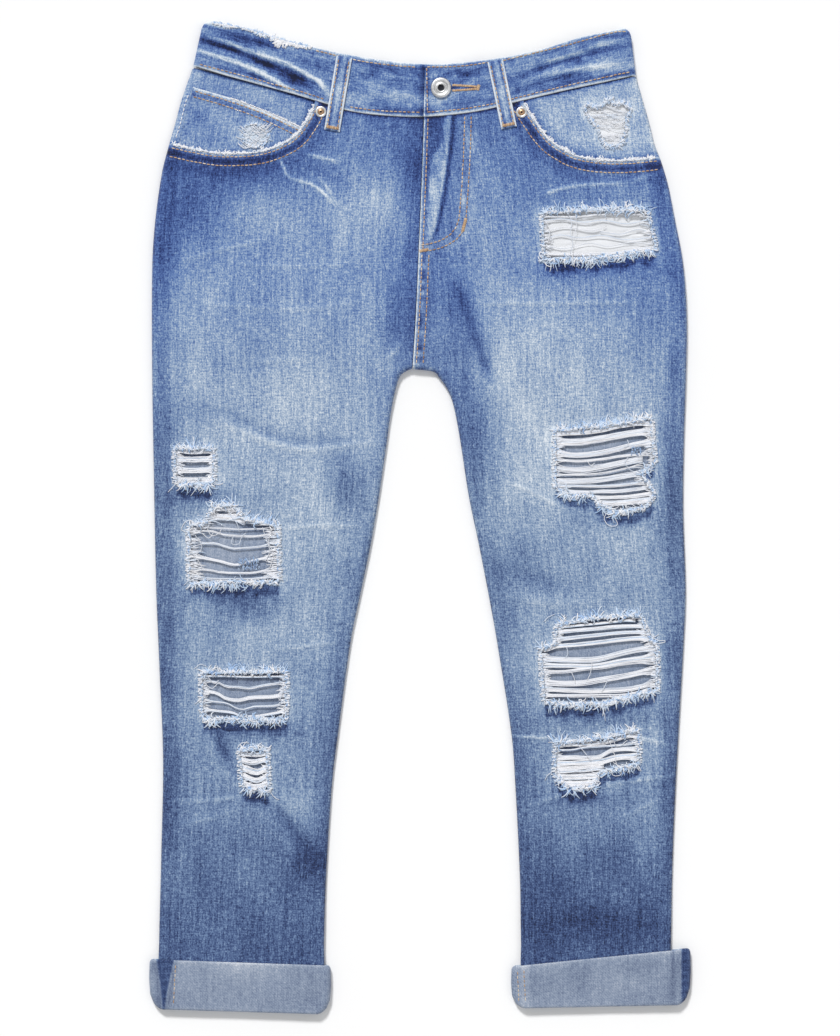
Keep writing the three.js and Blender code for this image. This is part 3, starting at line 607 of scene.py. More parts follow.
def front_top(x, y, side):
    """The front panel's upper face."""
    x, y = np.asarray(x, float), np.asarray(y, float)
    z = front_plain(x, y, side)
    pocket = np.abs(distance_to(x, y, POCKET_LINE[side]))
    z = z + 0.55 * (1 - smooth(11, 13.5, pocket)) - 0.25 * bump(pocket, 11, 0.9)
    z = z - 0.2 * bump(pocket, 3.2, 0.8)
    waist = waist_seam(x) - y
    z = z + 0.22 * np.exp(-waist / 9) * soft_noise(x, y, (4.5, 18), 21) - 0.25 * np.exp(-waist / 2.5)
    centre = np.where(y > CROTCH_Y - 4, np.abs(x - centre_x(y)), 99)
    if side == "left":
        z = z + 0.55 * (1 - smooth(10.5, 12.5, centre)) - 0.2 * bump(centre, 10.5, 0.8)
        zip_off = distance_to(x, y, ZIP_LINE)
        z = z + 0.8 * bump(zip_off + 3.5, 0, 4.2) - 0.4 * bump(zip_off, 1.7, 1.8)
        z = z + 0.25 * np.exp(-centre / 6) * soft_noise(x, y, (9, 6), 23)
    else:
        z = z - 0.5 * (1 - smooth(1, 6, centre))
    torn = rip_distance(x, y, side)
    z = z + 0.75 * bump(torn, 0, 2.3) * (0.75 + 0.5 * soft_noise(x, y, 5, 31))
    z = z - 0.3 * bump(torn, 8, 4.5)
    floor = lift(y) + 2 * CLOTH + 0.25
    seam = seam_height(y) + GAP / 2
    rise = rolled(x, y, side)
    return seam + (np.maximum(z, floor) - seam) * rise


def under_front(plies):
    """A face that lies some plies under the front panel."""

    def face(x, y, side):
        x, y = np.asarray(x, float), np.asarray(y, float)
        z = front_plain(x, y, side) - PLY * plies
        seam = seam_height(y) + GAP / 2
        return seam + (z - seam) * rolled(x, y, side)

    return face


def back_bottom(x, y, side):
    """The back panel's lower face."""
    x, y = np.asarray(x, float), np.asarray(y, float)
    base = lift(y) + 0.12 * (1 + soft_noise(x, y, (40, 50), 41)) * smooth(-300, -250, y)
    seam = seam_height(y) - GAP / 2
    return seam - (seam - base) * rolled(x, y, side)


# ---- Fading and painted shade ----
# How light the wash is up the leg, from 0 (black) to 1 (white), and how much darker at the seams.
WASH = line_through([
    (-410, 0.33), (-365, 0.35), (-340, 0.365), (-310, 0.40), (-280, 0.44), (-250, 0.51), (-220, 0.545),
    (-190, 0.565), (-130, 0.60), (-70, 0.615), (-10, 0.63), (50, 0.64), (110, 0.64), (140, 0.61),
    (200, 0.57), (235, 0.565), (262, 0.555), (290, 0.49), (320, 0.47), (350, 0.50), (410, 0.5),
], 0)
# Soft patches that are paler or darker: centre, half sizes, amount.
# The narrow dark ones that lie 8 to 13 mm under a rip are painted shadow under the rip's fringe.
PATCHES = {
    "right": [
        (-45, 262, 26, 42, 0.14), (-150, 284, 50, 16, -0.10), (-190, 256, 22, 26, -0.14),
        (-195, 150, 20, 60, 0.06), (-20, 165, 13, 50, -0.07), (-40, 215, 22, 30, -0.02),
        (-75, 80, 50, 60, 0.03), (-62, 28, 14, 26, -0.16), (-120, 60, 40, 50, 0.02),
        (-168, 20, 30, 60, 0.0), (-143, -75, 26, 12, -0.14), (-120, -95, 40, 26, 0.03),
        (-95, -285, 18, 22, -0.13), (-96, -240, 22, 14, 0.05), (-185, -200, 20, 40, -0.02),
        (-205, -10, 12, 120, -0.05), (-160, -190, 14, 16, -0.08), (-80, 45, 20, 70, 0.02),
        (-30, 330, 30, 16, 0.02), (-140, -176, 44, 7, -0.10), (-152, -66, 40, 6, -0.12),
        (-208, 225, 16, 34, -0.14), (-175, 17, 34, 7, -0.12), (-190, 16, 20, 22, -0.08),
        (-100, 60, 30, 26, -0.05), (-172, -80, 16, 40, -0.08), (-70, -70, 16, 60, -0.05),
    ],
    "left": [
        (130, 262, 70, 12, -0.05), (135, 204, 55, 9, -0.12), (95, 150, 50, 42, 0.06),
        (95, 110, 46, 50, 0.05), (28, 250, 16, 60, -0.08), (62, 290, 26, 36, 0.05),
        (60, 225, 30, 40, 0.04), (30, 165, 16, 40, -0.10), (190, 170, 22, 60, -0.05),
        (205, 40, 10, 90, -0.06), (160, -2, 34, 8, -0.10), (70, -28, 26, 16, -0.04),
        (125, -30, 60, 40, 0.0), (150, -165, 52, 9, -0.12), (140, -232, 36, 7, -0.08),
        (150, -340, 60, 18, -0.08), (120, -300, 40, 30, -0.02), (85, -80, 22, 50, 0.01),
        (48, 70, 17, 60, -0.13), (40, 140, 18, 40, -0.06), (100, 45, 14, 60, 0.03), (120, 60, 40, 40, 0.02),
        (80, -60, 18, 50, -0.07), (190, -240, 14, 40, 0.05),
    ],
}


def patches(x, y, table):
    total = np.zeros(np.shape(x))
    for cx, cy, across, up, amount in table:
        total += amount * np.exp(-(((x - cx) / across) ** 2) - ((y - cy) / up) ** 2)
    return total


def leg_fade(x, y, side):
    """The wash of a leg panel, without what its own edges do."""
    out, inner = out_x[side](y), inner_x(y, side)
    shade = WASH(y)
    near_out, near_in = np.abs(x - out), np.abs(x - inner)
    strength = 0.16 * (1 - 0.6 * smooth(60, 160, y)) * smooth(-340, -230, y)
    strip = 1 - smooth(12.5, 16.5, near_out + 1.5 * soft_noise(x, y, (40, 25), 53))
    shade = shade - 0.065 * strip * smooth(-300, -200, y)
    shade = shade - 0.6 * strength * bump(near_out, 0, 17) - 0.13 * bump(near_in, 0, 17) * (
        smooth(-340, -200, y)
    )
    return shade + 0.04 * soft_noise(x, y, (34, 60), 51) + 0.03 * soft_noise(x, y, (13, 22), 52)


def front_detail(side):
    """Where the front's folds, hems and torn edges need a closer mesh."""

    def detail(x, y):
        near = np.abs(distance_to(x, y, POCKET_LINE[side])) < 13
        near |= waist_seam(x) - y < 7
        near |= rip_distance(x, y, side) < 3.5
        if side == "left":
            near |= (y > CROTCH_Y) & (x < centre_x(y) + 12)
            near |= np.abs(distance_to(x, y, ZIP_LINE)) < 9
        for line, half, *_ in CREASES:
            low, high = line.min(0) - 12, line.max(0) + 12
            box = (x > low[0]) & (x < high[0]) & (y > low[1]) & (y < high[1])
            if half < 5.6 and box.any():
                near[box] |= np.abs(distance_to(x[box], y[box], line)) < 1.3 * half + 1.5
        return near

    return detail


def under_shadow(x, y, side):
    """Painted shadow on the cloth right under the fringe that hangs from each rip."""
    total = np.zeros(np.shape(x))
    for line in RIP_LINES[side].values():
        low, high = line.min(0) - 25, line.max(0) + 5
        near = (x > low[0]) & (x < high[0]) & (y > low[1]) & (y < high[1])
        if not near.any():
            continue
        px, py = x[near], y[near]
        drop = 11.0 + 1.8 * soft_noise(px, py, (5, 40), 68)
        fallen = inside(px - 0.5, py + drop, line) & ~inside(px, py, line)
        soft = inside(px - 0.5, py + drop + 3.5, line) & ~inside(px, py, line)
        total[near] += np.where(fallen, 0.20, 0) + np.where(soft, 0.07, 0)
    return total


def front_fade(x, y, side):
    x, y = np.asarray(x, float), np.asarray(y, float)
    shade = leg_fade(x, y, side) + patches(x, y, PATCHES[side]) + creased(x, y, CREASES, 3)
    pocket = np.abs(distance_to(x, y, POCKET_LINE[side]))
    shade = shade + 0.46 * bump(pocket, 0, 2.6) * (0.7 + 0.6 * soft_noise(x, y, 3, 61))
    shade = shade - 0.21 * bump(pocket, 7.4, 2.8) - 0.08 * bump(pocket, 15, 6)
    shade = shade + 0.10 * bump(pocket, 11.5, 1.6) * (0.3 + soft_noise(x, y, (4, 4), 67))
    waist = waist_seam(x) - y
    puckers = 0.05 * bump(waist, 8, 5) * soft_noise(x, y, (6, 20), 62)
    # Painted shadow: the dark line right under the waistband's lower edge, and the darkening just below it.
    shade = shade - 0.30 * bump(waist, 0, 1.7) - 0.08 * np.exp(-waist / 4) + puckers
    centre = np.where(y > CROTCH_Y - 4, np.abs(x - centre_x(y)), 99)
    if side == "left":
        shade = shade + 0.46 * bump(centre, 0, 1.7)
        zip_off = distance_to(x, y, ZIP_LINE)
        width = 5 + 8 * smooth(314, 292, y)
        wear = smooth(-width - 2, 1.5 - width, zip_off) * smooth(0.4, -1.4, zip_off)
        wear = wear * smooth(4.5, 7.5, centre)
        wear = wear * (0.75 + 0.5 * soft_noise(x, y, (4, 13), 63)) * smooth(224, 232, y)
        shade = shade + 0.26 * wear
        # Painted shade in the groove that runs beside the zip ridge.
        shade = shade - 0.24 * bump(zip_off, 1.7, 1.7) * smooth(226, 240, y)
        below = bump(centre, 5, 3.2) * (y < 219)
        shade = shade + 0.22 * below * soft_noise(x, y, (9, 4.5), 64)
        j_line = np.abs(distance_to(x, y, resample(FLY_J, 6)))
        shade = shade + 0.10 * bump(j_line, 3, 3.5) * (0.6 + soft_noise(x, y, (7, 9), 65))
    else:
        # Painted shade beside the centre front, where the left panel's fly laps over this one.
        shade = shade - 0.05 * np.exp(-centre / 5)
    torn = rip_distance(x, y, side)
    shade = shade - under_shadow(x, y, side)
    shade = shade + 0.34 * np.exp(-torn / 2.6) * (0.8 + 0.4 * soft_noise(x, y, 3, 66))
    return shade


def back_fade(x, y, side):
    x, y = np.asarray(x, float), np.asarray(y, float)
    mirrored = [(SIGN[side] * abs(cx), cy, a, b, c) for cx, cy, a, b, c in (
        (110, 200, 60, 70, 0.05), (100, 90, 40, 50, -0.06), (140, 20, 50, 90, 0.03),
        (130, -60, 40, 14, -0.08), (150, -120, 50, 40, 0.02),
    )]
    shade = leg_fade(x, y, side) - 0.03 + patches(x, y, mirrored)
    # Painted shade: the back panel is darker in bands just under each rip's top edge, where the front's edge
    # shades it; this is painted on both of its faces.
    for line in RIP_LINES[side].values():
        for reach in (3.0, 6.0, 9.0):
            shaded_under_edge = inside(x, y, line) & ~inside(x, y + reach + soft_noise(x, y, 7, 69), line)
            shade = shade - np.where(shaded_under_edge, 0.07, 0)
    return shade


# ---- Meshes ----
def new_object(name, points, triangles, materials=(), slots=None, **attributes):
    """An object from points in mm and triangles, with a float attribute or a UV map for each name."""
    mesh = bpy.data.meshes.new(name)
    points = np.asarray(points, np.float32) * MM
    triangles = np.asarray(triangles, np.int32)
    mesh.vertices.add(len(points))
    mesh.vertices.foreach_set("co", points.ravel())
    mesh.loops.add(triangles.size)
    mesh.loops.foreach_set("vertex_index", triangles.ravel())
    mesh.polygons.add(len(triangles))
    mesh.polygons.foreach_set("loop_start", np.arange(0, triangles.size, 3, dtype=np.int32))
    mesh.polygons.foreach_set("use_smooth", np.ones(len(triangles), bool))
    for material in materials:
        mesh.materials.append(material)
    if slots is not None:
        mesh.polygons.foreach_set("material_index", np.asarray(slots, np.int32))
    for key, values in attributes.items():
        values = np.asarray(values, np.float32)
        if values.ndim == 2:
            layer = mesh.uv_layers.new(name=key)
            layer.data.foreach_set("uv", (values[triangles.ravel()] * MM).ravel())
        else:
            mesh.attributes.new(key, "FLOAT", "POINT").data.foreach_set("value", values)
    mesh.update(calc_edges=True)
    mesh.validate()
    thing = bpy.data.objects.new(name, mesh)
    bpy.context.scene.collection.objects.link(thing)
    return thing


def normals_of(points, triangles):
    a, b, c = (points[triangles[:, k]] for k in range(3))
    face = np.cross(b - a, c - a)
    total = np.zeros_like(points)
    for k in range(3):
        np.add.at(total, triangles[:, k], face)
    return total / np.maximum(np.linalg.norm(total, axis=1, keepdims=True), 1e-9)


def rim_of(triangles):
    """The edges that only one triangle has, in that triangle's direction."""
    edges = np.vstack([triangles[:, [0, 1]], triangles[:, [1, 2]], triangles[:, [2, 0]]])
    width = int(triangles.max()) + 1
    there, back = edges[:, 0] * width + edges[:, 1], edges[:, 1] * width + edges[:, 0]
    return edges[~np.isin(there, back)]


def thicken(points, triangles, thickness):
    """A closed wall from one face: its other face, a thickness behind it, and the rim between."""
    count = len(points)
    behind = points - normals_of(points, triangles) * thickness
    rim = rim_of(triangles)
    a, b = rim[:, 0], rim[:, 1]
    sides = np.vstack([np.stack([b, a, a + count], 1), np.stack([b, a + count, b + count], 1)])
    slots = np.concatenate([
        np.zeros(len(triangles)), np.ones(len(triangles)), np.full(len(sides), 2)
    ])
    return np.vstack([points, behind]), np.vstack([triangles, triangles[:, ::-1] + count, sides]), slots


def cut_cloth(outline, holes, spacing, detail=None):
    """Points and triangles of a flat piece with its outline and holes, close along the edges.

    detail tells where the cloth has folds and hems that need points at half the spacing.
    """
    outline = np.asarray(outline, float)
    rings = [outline] + [np.asarray(h, float) for h in holes]
    x0, y0 = outline.min(0)
    x1, y1 = outline.max(0)

    def lattice(step):
        rows = np.arange(y0 + step, y1, step * math.sqrt(0.75))
        return np.vstack([
            np.stack([np.arange(x0 + step / 2 * (k % 2), x1, step)] * 2, 1) * [1, 0] + [0, y]
            for k, y in enumerate(rows)
        ])

    grid = lattice(spacing)
    if detail:
        close = lattice(spacing / 2)
        grid = np.vstack([grid[~detail(*grid.T)], close[detail(*close.T)]])
    grid = grid[inside(grid[:, 0], grid[:, 1], outline)]
    for ring in rings[1:]:
        grid = grid[~inside(grid[:, 0], grid[:, 1], ring)]
    edge_points = np.vstack(rings)
    inward = np.vstack([offset_ring(outline, d)[::2] for d in (0.5, 1.4)])
    inward = inward[inside(inward[:, 0], inward[:, 1], outline)]
    for ring in rings[1:]:
        inward = inward[~inside(inward[:, 0], inward[:, 1], ring)]
    tree = kdtree.KDTree(len(edge_points) + len(inward))
    for i, (px, py) in enumerate(np.vstack([edge_points, inward])):
        tree.insert((px, py, 0), i)
    tree.balance()
    clear = [tree.find((px, py, 0))[2] > 0.3 * spacing for px, py in grid]
    points = np.vstack([edge_points, inward, grid[clear]])
    edges, start = [], 0
    for ring in rings:
        n = len(ring)
        edges += [(start + i, start + (i + 1) % n) for i in range(n)]
        start += n
    flat = [Vector(p) for p in points]
    new_points, _, faces, *_ = geometry.delaunay_2d_cdt(flat, edges, [], 0, 1e-4)
    points = np.array([tuple(p) for p in new_points])
    triangles = np.array([f[:] for f in faces if len(f) == 3])
    middle = points[triangles].mean(1)
    keep = inside(middle[:, 0], middle[:, 1], outline)
    for ring in rings[1:]:
        keep &= ~inside(middle[:, 0], middle[:, 1], ring)
    triangles = triangles[keep]
    a, b, c = (points[triangles[:, k]] for k in range(3))
    turn = (b - a)[:, 0] * (c - a)[:, 1] - (b - a)[:, 1] * (c - a)[:, 0]
    triangles[turn < 0] = triangles[turn < 0][:, ::-1]
    triangles = triangles[np.abs(turn) > 1e-7]
    used = np.unique(triangles)
    renumber = np.full(len(points), -1)
    renumber[used] = np.arange(len(used))
    return points[used], renumber[triangles]


def offset_ring(ring, distance):
    """A closed ring moved inwards."""
    ahead, behind = np.roll(ring, -1, axis=0), np.roll(ring, 1, axis=0)
    along = ahead - behind
    along /= np.maximum(np.linalg.norm(along, axis=1, keepdims=True), 1e-9)
    normal = np.stack([-along[:, 1], along[:, 0]], 1)
    area = np.sum(ring[:, 0] * ahead[:, 1] - ahead[:, 0] * ring[:, 1])
    return ring + normal * distance * (1 if area > 0 else -1)


def leg_grain(x, y, side):
    """The cloth's own coordinates on a leg: across it, and along its warp."""
    middle = (out_x[side](y) + inner_x(np.minimum(y, 60), side)) / 2
    return np.stack([x - middle + 400, y + 600], 1)


def cloth_piece(name, outline, holes, spacing, face, side, materials, fade, underside=False,
                thickness=CLOTH, grain=leg_grain, detail=None):
    """A sheet of cloth cut to an outline: face gives its height, and the fade function how worn it is and where
    shade is painted.
    """
    flat, triangles = cut_cloth(outline, holes, spacing, detail)
    x, y = flat.T
    points = np.column_stack([flat, face(x, y, side)])
    if underside:
        triangles = triangles[:, ::-1]
    points, triangles, slots = thicken(points, triangles, thickness)
    shade = fade(x, y, side)
    uv = grain(x, y, side)
    return new_object(
        name, points, triangles, materials, slots,
        fade=np.concatenate([shade, shade]), grain=np.vstack([uv, uv]),
    )


def strand_mesh(paths, radius, sides):
    """Closed round strands along paths, an array of (strand, step, xyz), all in one mesh."""
    paths = np.asarray(paths, float)
    count, steps, _ = paths.shape
    along = np.gradient(paths, axis=1)
    along /= np.maximum(np.linalg.norm(along, axis=2, keepdims=True), 1e-9)
    up = np.zeros_like(along)
    up[..., 2] = 1
    across = np.cross(along, up)
    flat = np.linalg.norm(across, axis=2, keepdims=True)
    across = np.where(flat > 1e-3, across / np.maximum(flat, 1e-9), [1.0, 0, 0])
    above = np.cross(across, along)
    angle = np.arange(sides) * 2 * math.pi / sides
    radius = np.broadcast_to(np.asarray(radius, float), (count, steps))[..., None, None]
    ring = (
        paths[:, :, None, :]
        + radius * (
            np.cos(angle)[:, None] * across[:, :, None, :]
            + np.sin(angle)[:, None] * above[:, :, None, :]
        )
    )
    points = ring.reshape(-1, 3)
    i, j = np.meshgrid(np.arange(steps - 1), np.arange(sides), indexing="ij")
    a, b = i * sides + j, i * sides + (j + 1) % sides
    c, d = a + sides, b + sides
    wall = np.stack([a, c, b, b, c, d], -1).reshape(-1, 3)
    first = np.array([(0, k, k + 1) for k in range(1, sides - 1)])
    last = (steps - 1) * sides + first[:, ::-1]
    one = np.vstack([wall, first, last])
    every = (one[None] + np.arange(count)[:, None, None] * steps * sides).reshape(-1, 3)
    return points, every


def strands_object(name, batches, material):
    """Joins batches of strands, each (paths, radius, tint) and perhaps its number of sides, in one."""
    points, triangles, tints, start = [], [], [], 0
    for paths, radius, tint, *own in batches:
        sides = own[0] if own else 5
        p, t = strand_mesh(paths, radius, sides)
        count, steps = np.shape(paths)[:2]
        tint = np.asarray(tint, float)
        tint = np.broadcast_to(tint if tint.ndim == 2 else tint.reshape(-1, 1), (count, steps))
        points.append(p)
        triangles.append(t + start)
        tints.append(np.repeat(tint.ravel(), sides))
        start += len(p)
    return new_object(
        name, np.vstack(points), np.vstack(triangles), [material], tint=np.concatenate(tints)
    )


# ---- Materials ----
def linear(colour):
    """A colour of 0 to 255 in each channel, as Blender's linear values."""
    c = np.array(colour, float) / 255
    return tuple(np.where(c <= 0.04045, c / 12.92, ((c + 0.055) / 1.055) ** 2.4)) + (1.0,)


class Nodes:
    """A short way of wiring a material's nodes."""

    def __init__(self, name, roughness=0.9, **constants):
        self.material = bpy.data.materials.new(name)
        self.material.use_nodes = True
        self.tree = self.material.node_tree
        self.shader = self.tree.nodes["Principled BSDF"]
        self.shader.inputs["Roughness"].default_value = roughness
        for key, value in constants.items():
            self.shader.inputs[key.replace("_", " ")].default_value = value

    def add(self, kind, inputs=(), **settings):
        node = self.tree.nodes.new("ShaderNode" + kind)
        for key, value in settings.items():
            setattr(node, key, value)
        for key, value in dict(inputs).items():
            if isinstance(value, bpy.types.NodeSocket):
                self.tree.links.new(value, node.inputs[key])
            else:
                node.inputs[key].default_value = value
        return node

    def math(self, operation, *values):
        node = self.add("Math", operation=operation)
        for k, value in enumerate(values):
            if isinstance(value, bpy.types.NodeSocket):
                self.tree.links.new(value, node.inputs[k])
            else:
                node.inputs[k].default_value = value
        return node.outputs[0]

    def sum(self, *values):
        total = values[0]
        for value in values[1:]:
            total = self.math("ADD", total, value)
        return total

    def noise(self, place, scale, amount, detail=2.0, roughness=0.5):
        """Noise about zero, in lumps scaled along each axis."""
        moved = self.add("Mapping", {"Vector": place, "Scale": scale})
        node = self.add(
            "TexNoise", {"Vector": moved.outputs[0], "Scale": 1.0, "Detail": detail, "Roughness": roughness}
        )
        return self.math("MULTIPLY", self.math("SUBTRACT", node.outputs["Fac"], 0.5), amount)

    def bands(self, place, pitch, degrees, amount):
        """Straight ribs, a pitch apart, about zero."""
        turned = self.add("Mapping", {"Vector": place, "Rotation": (0, 0, math.radians(degrees))})
        node = self.add(
            "TexWave", {"Vector": turned.outputs[0], "Scale": 2 * math.pi / 20 / pitch, "Distortion": 0.0}
        )
        return self.math("MULTIPLY", self.math("SUBTRACT", node.outputs["Fac"], 0.5), amount)

    def ramp(self, value, stops):
        node = self.add("ValToRGB", {"Fac": value})
        ramp = node.color_ramp
        while len(ramp.elements) < len(stops):
            ramp.elements.new(0.5)
        for element, (place, colour) in zip(ramp.elements, stops):
            element.position = place
            element.color = linear(colour)
        return node.outputs["Color"]

    def blend(self, share, first, second):
        return self.add("Mix", {0: share, 6: first, 7: second}, data_type="RGBA").outputs[2]

    def colour(self, socket):
        self.tree.links.new(socket, self.shader.inputs["Base Color"])

    def bump(self, height, strength, distance):
        node = self.add("Bump", {"Height": height, "Strength": strength, "Distance": distance})
        self.tree.links.new(node.outputs[0], self.shader.inputs["Normal"])

    def rough(self, socket):
        self.tree.links.new(socket, self.shader.inputs["Roughness"])


INDIGO = [
    (0.10, (16, 24, 48)), (0.24, (38, 54, 95)), (0.34, (60, 80, 123)), (0.43, (84, 106, 146)),
    (0.52, (108, 132, 169)), (0.62, (138, 159, 186)), (0.71, (166, 182, 202)), (0.80, (195, 206, 218)),
    (0.90, (222, 229, 237)),
]
INDIGO_TOP = [  # above the thighs it has kept more of its blue
    (0.10, (12, 22, 54)), (0.24, (32, 52, 108)), (0.34, (54, 78, 136)), (0.43, (74, 102, 160)),
    (0.52, (99, 128, 178)), (0.62, (132, 156, 191)), (0.71, (164, 182, 205)), (0.80, (194, 206, 219)),
    (0.90, (222, 229, 237)),
]
WRONG_SIDE = [
    (0.2, (62, 74, 104)), (0.42, (98, 111, 138)), (0.56, (131, 145, 168)), (0.7, (160, 170, 187)),
    (0.85, (205, 210, 218)),
]


def denim(name, stops, streaks, twill, base=0.0, seam=None):
    """Washed denim: a shade from the cloth's own attribute, which holds its wear and some painted shade, slubs
    along the warp, and the twill.
    """
    m = Nodes(name, 0.92, Sheen_Weight=0.12, Sheen_Roughness=0.6, Specular_IOR_Level=0.25)
    # The attribute holds the wash and wear of the cloth together with painted shade and shadow.
    worn = m.add("Attribute", attribute_name="fade").outputs["Fac"]
    grain = m.add("UVMap", uv_map="grain").outputs[0]
    slub = m.noise(grain, (820, 210, 1), streaks * 1.6, 2.0)
    streak = m.noise(grain, (430, 20, 1), streaks * 1.2, 3.0)
    weft = m.noise(grain, (150, 800, 1), streaks * 1.2, 2.0)
    speck = m.noise(grain, (900, 700, 1), streaks * 1.8, 1.0)
    cloud = m.sum(m.noise(grain, (160, 45, 1), 0.10, 3.0), m.noise(grain, (45, 32, 1), 0.09, 3.0))
    ribs = m.bands(grain, 0.00115, 62, twill)
    shade = m.sum(worn, slub, streak, weft, speck, cloud, ribs)
    if base:
        shade = m.math("ADD", shade, base)
    colour = m.ramp(shade, stops)
    if stops is INDIGO:
        height = m.add("SeparateXYZ", {0: m.add("TexCoord").outputs["Object"]}).outputs["Y"]
        share = m.add("MapRange", {0: height, 1: 0.02, 2: 0.2}).outputs[0]
        colour = m.blend(share, colour, m.ramp(shade, INDIGO_TOP))
    if seam:
        shown = m.add("Attribute", attribute_name="right_side").outputs["Fac"]
        colour = m.blend(shown, colour, m.ramp(shade, seam))
    m.colour(colour)
    relief = m.sum(m.bands(grain, 0.00115, 62, 0.6), m.noise(grain, (1300, 500, 1), 0.9, 2.0))
    m.bump(relief, 0.35, 0.00035)
    m.rough(m.math("ADD", m.noise(grain, (300, 300, 1), 0.12), 0.9))
    return m.material


def yarn_material(name, stops, spots):
    """Loose yarn: its tint comes from the strand, with a little unevenness along it."""
    m = Nodes(name, 0.95, Sheen_Weight=0.15, Sheen_Roughness=0.6, Specular_IOR_Level=0.2)
    tint = m.add("Attribute", attribute_name="tint").outputs["Fac"]
    place = m.add("TexCoord").outputs["Object"]
    m.colour(m.ramp(m.sum(tint, m.noise(place, (900, 900, 900), spots, 2.0)), stops))
    m.bump(m.noise(place, (3500, 3500, 3500), 1.0, 2.0), 0.3, 0.0002)
    return m.material


def cotton_material():
    m = Nodes("white pocketing", 0.95, Sheen_Weight=0.1, Sheen_Roughness=0.6, Specular_IOR_Level=0.2)
    place = m.add("TexCoord").outputs["Object"]
    weave = m.sum(m.bands(place, 0.0008, 0, 0.5), m.bands(place, 0.0008, 90, 0.5))
    shade = m.sum(m.noise(place, (60, 90, 1), 0.25, 3.0), m.noise(place, (900, 900, 1), 0.15, 2.0))
    m.colour(m.ramp(m.math("ADD", shade, 0.5), [(0.2, (214, 217, 222)), (0.8, (240, 241, 243))]))
    m.bump(m.sum(weave, m.noise(place, (700, 700, 1), 0.6)), 0.25, 0.0003)
    return m.material


def metal_material(name, dark, light, roughness):
    """Worn metal, darker where it is pitted."""
    m = Nodes(name, roughness, Metallic=1.0)
    place = m.add("TexCoord").outputs["Object"]
    pits = m.noise(place, (1400, 1400, 1400), 0.9, 4.0)
    m.colour(m.ramp(m.math("ADD", pits, 0.55), [(0.25, dark), (0.6, light)]))
    m.rough(m.math("ADD", m.noise(place, (900, 900, 900), 0.35), roughness))
    m.bump(m.noise(place, (1100, 1100, 1100), 1.0, 3.0), 0.15, 0.0002)
    return m.material


def floor_material(colour):
    m = Nodes("pale floor", 0.85, Specular_IOR_Level=0.2)
    place = m.add("TexCoord").outputs["Object"]
    tone = [max(0, c - 4) for c in colour]
    m.colour(m.ramp(m.math("ADD", m.noise(place, (3, 3, 1), 0.5), 0.5), [(0.3, tone), (0.7, colour)]))
    return m.material


MATERIALS = {}


def denim_faces():
    """What a denim wall is faced with: its outside, its wrong side and its cut edge."""
    return [material("denim"), material("wrong"), material("edge")]


def material(key):
    """Each material, made when it is first asked for."""
    make = {
        "denim": lambda: denim("washed denim", INDIGO, 0.26, 0.05),
        "wrong": lambda: denim("denim, wrong side", WRONG_SIDE, 0.17, 0.09),
        "edge": lambda: denim("denim, raw edge", INDIGO, 0.45, 0.0, base=0.12),
        "cuff": lambda: denim("denim, turned up", WRONG_SIDE, 0.17, 0.13, seam=INDIGO),
        "thread": lambda: yarn_material(
            "topstitching thread",
            [(0.0, (140, 108, 84)), (0.35, (188, 152, 116)), (0.7, (218, 192, 158)), (1.0, (238, 226, 208))], 0.5,
        ),
        "yarn": lambda: yarn_material(
            "loose yarn",
            [(0.0, (118, 150, 200)), (0.35, (168, 196, 230)), (0.65, (206, 221, 239)), (0.85, (230, 233, 240)),
             (1.0, (241, 241, 244))], 0.25,
        ),
        "cotton": cotton_material,
        "button metal": lambda: metal_material("worn nickel", (150, 152, 156), (226, 227, 228), 0.42),
        "copper": lambda: metal_material("worn copper", (120, 88, 66), (206, 172, 140), 0.42),
        # Painted shade: a dark metal put in the hollows of the button and rivets.
        "pit_shade": lambda: metal_material("painted shade in a metal pit", (20, 22, 28), (52, 54, 60), 0.6),
    }
    if key not in MATERIALS:
        MATERIALS[key] = make[key]()
    return MATERIALS[key]


# ---- Pieces on the body, and their cut areas ----
def keep(thing, slot, *nodes):
    """Rides a piece on the body and hides the CAD nodes that it stands for."""
    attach(thing, "root")
    if nodes:
        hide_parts(*nodes)
    return thing


def cut_area(outline, holes=()):
    """The flat area of a cut in square metres."""

    def area(ring):
        p = np.asarray(ring, float)
        q = np.roll(p, -1, axis=0)
        return abs(np.sum(p[:, 0] * q[:, 1] - q[:, 0] * p[:, 1])) / 2

    return (area(outline) - sum(area(h) for h in holes)) * MM * MM


def lay(outline, holes):
    """Works out the size and flat area of a sheet cut to an outline, and keeps neither."""
    size = (np.max(outline, axis=0) - np.min(outline, axis=0)) * MM
    float(cut_area(outline, holes))


# ---- Outlines ----
EDGE_STEP = 1.8


def side_points(side, low, high):
    """Up the outer seam."""
    y = np.arange(low, high, EDGE_STEP)
    return np.stack([out_x[side](y), y], 1)


def inner_points(side):
    """Down the centre front and the inner seam, from the waist to the hem."""
    top = waist_seam(centre_x(340)) - GAP
    y = np.arange(top, CROTCH_Y, -EDGE_STEP)
    centre = np.stack([centre_x(y) + SIGN[side] * GAP / 2, y], 1)
    bends = np.concatenate([
        np.arange(CROTCH_Y, 119, -0.22), np.arange(119, 100, -0.8), np.arange(100, HEM_Y, -EDGE_STEP), [HEM_Y],
    ])
    leg = np.stack([leg_x[side](bends), bends], 1)
    return resample(np.vstack([centre, leg]), EDGE_STEP)


def waist_points(from_x, to_x):
    """Along under the waistband's seam."""
    x = np.linspace(from_x, to_x, max(2, int(abs(to_x - from_x) / EDGE_STEP)))
    return np.stack([x, waist_seam(x) - GAP], 1)


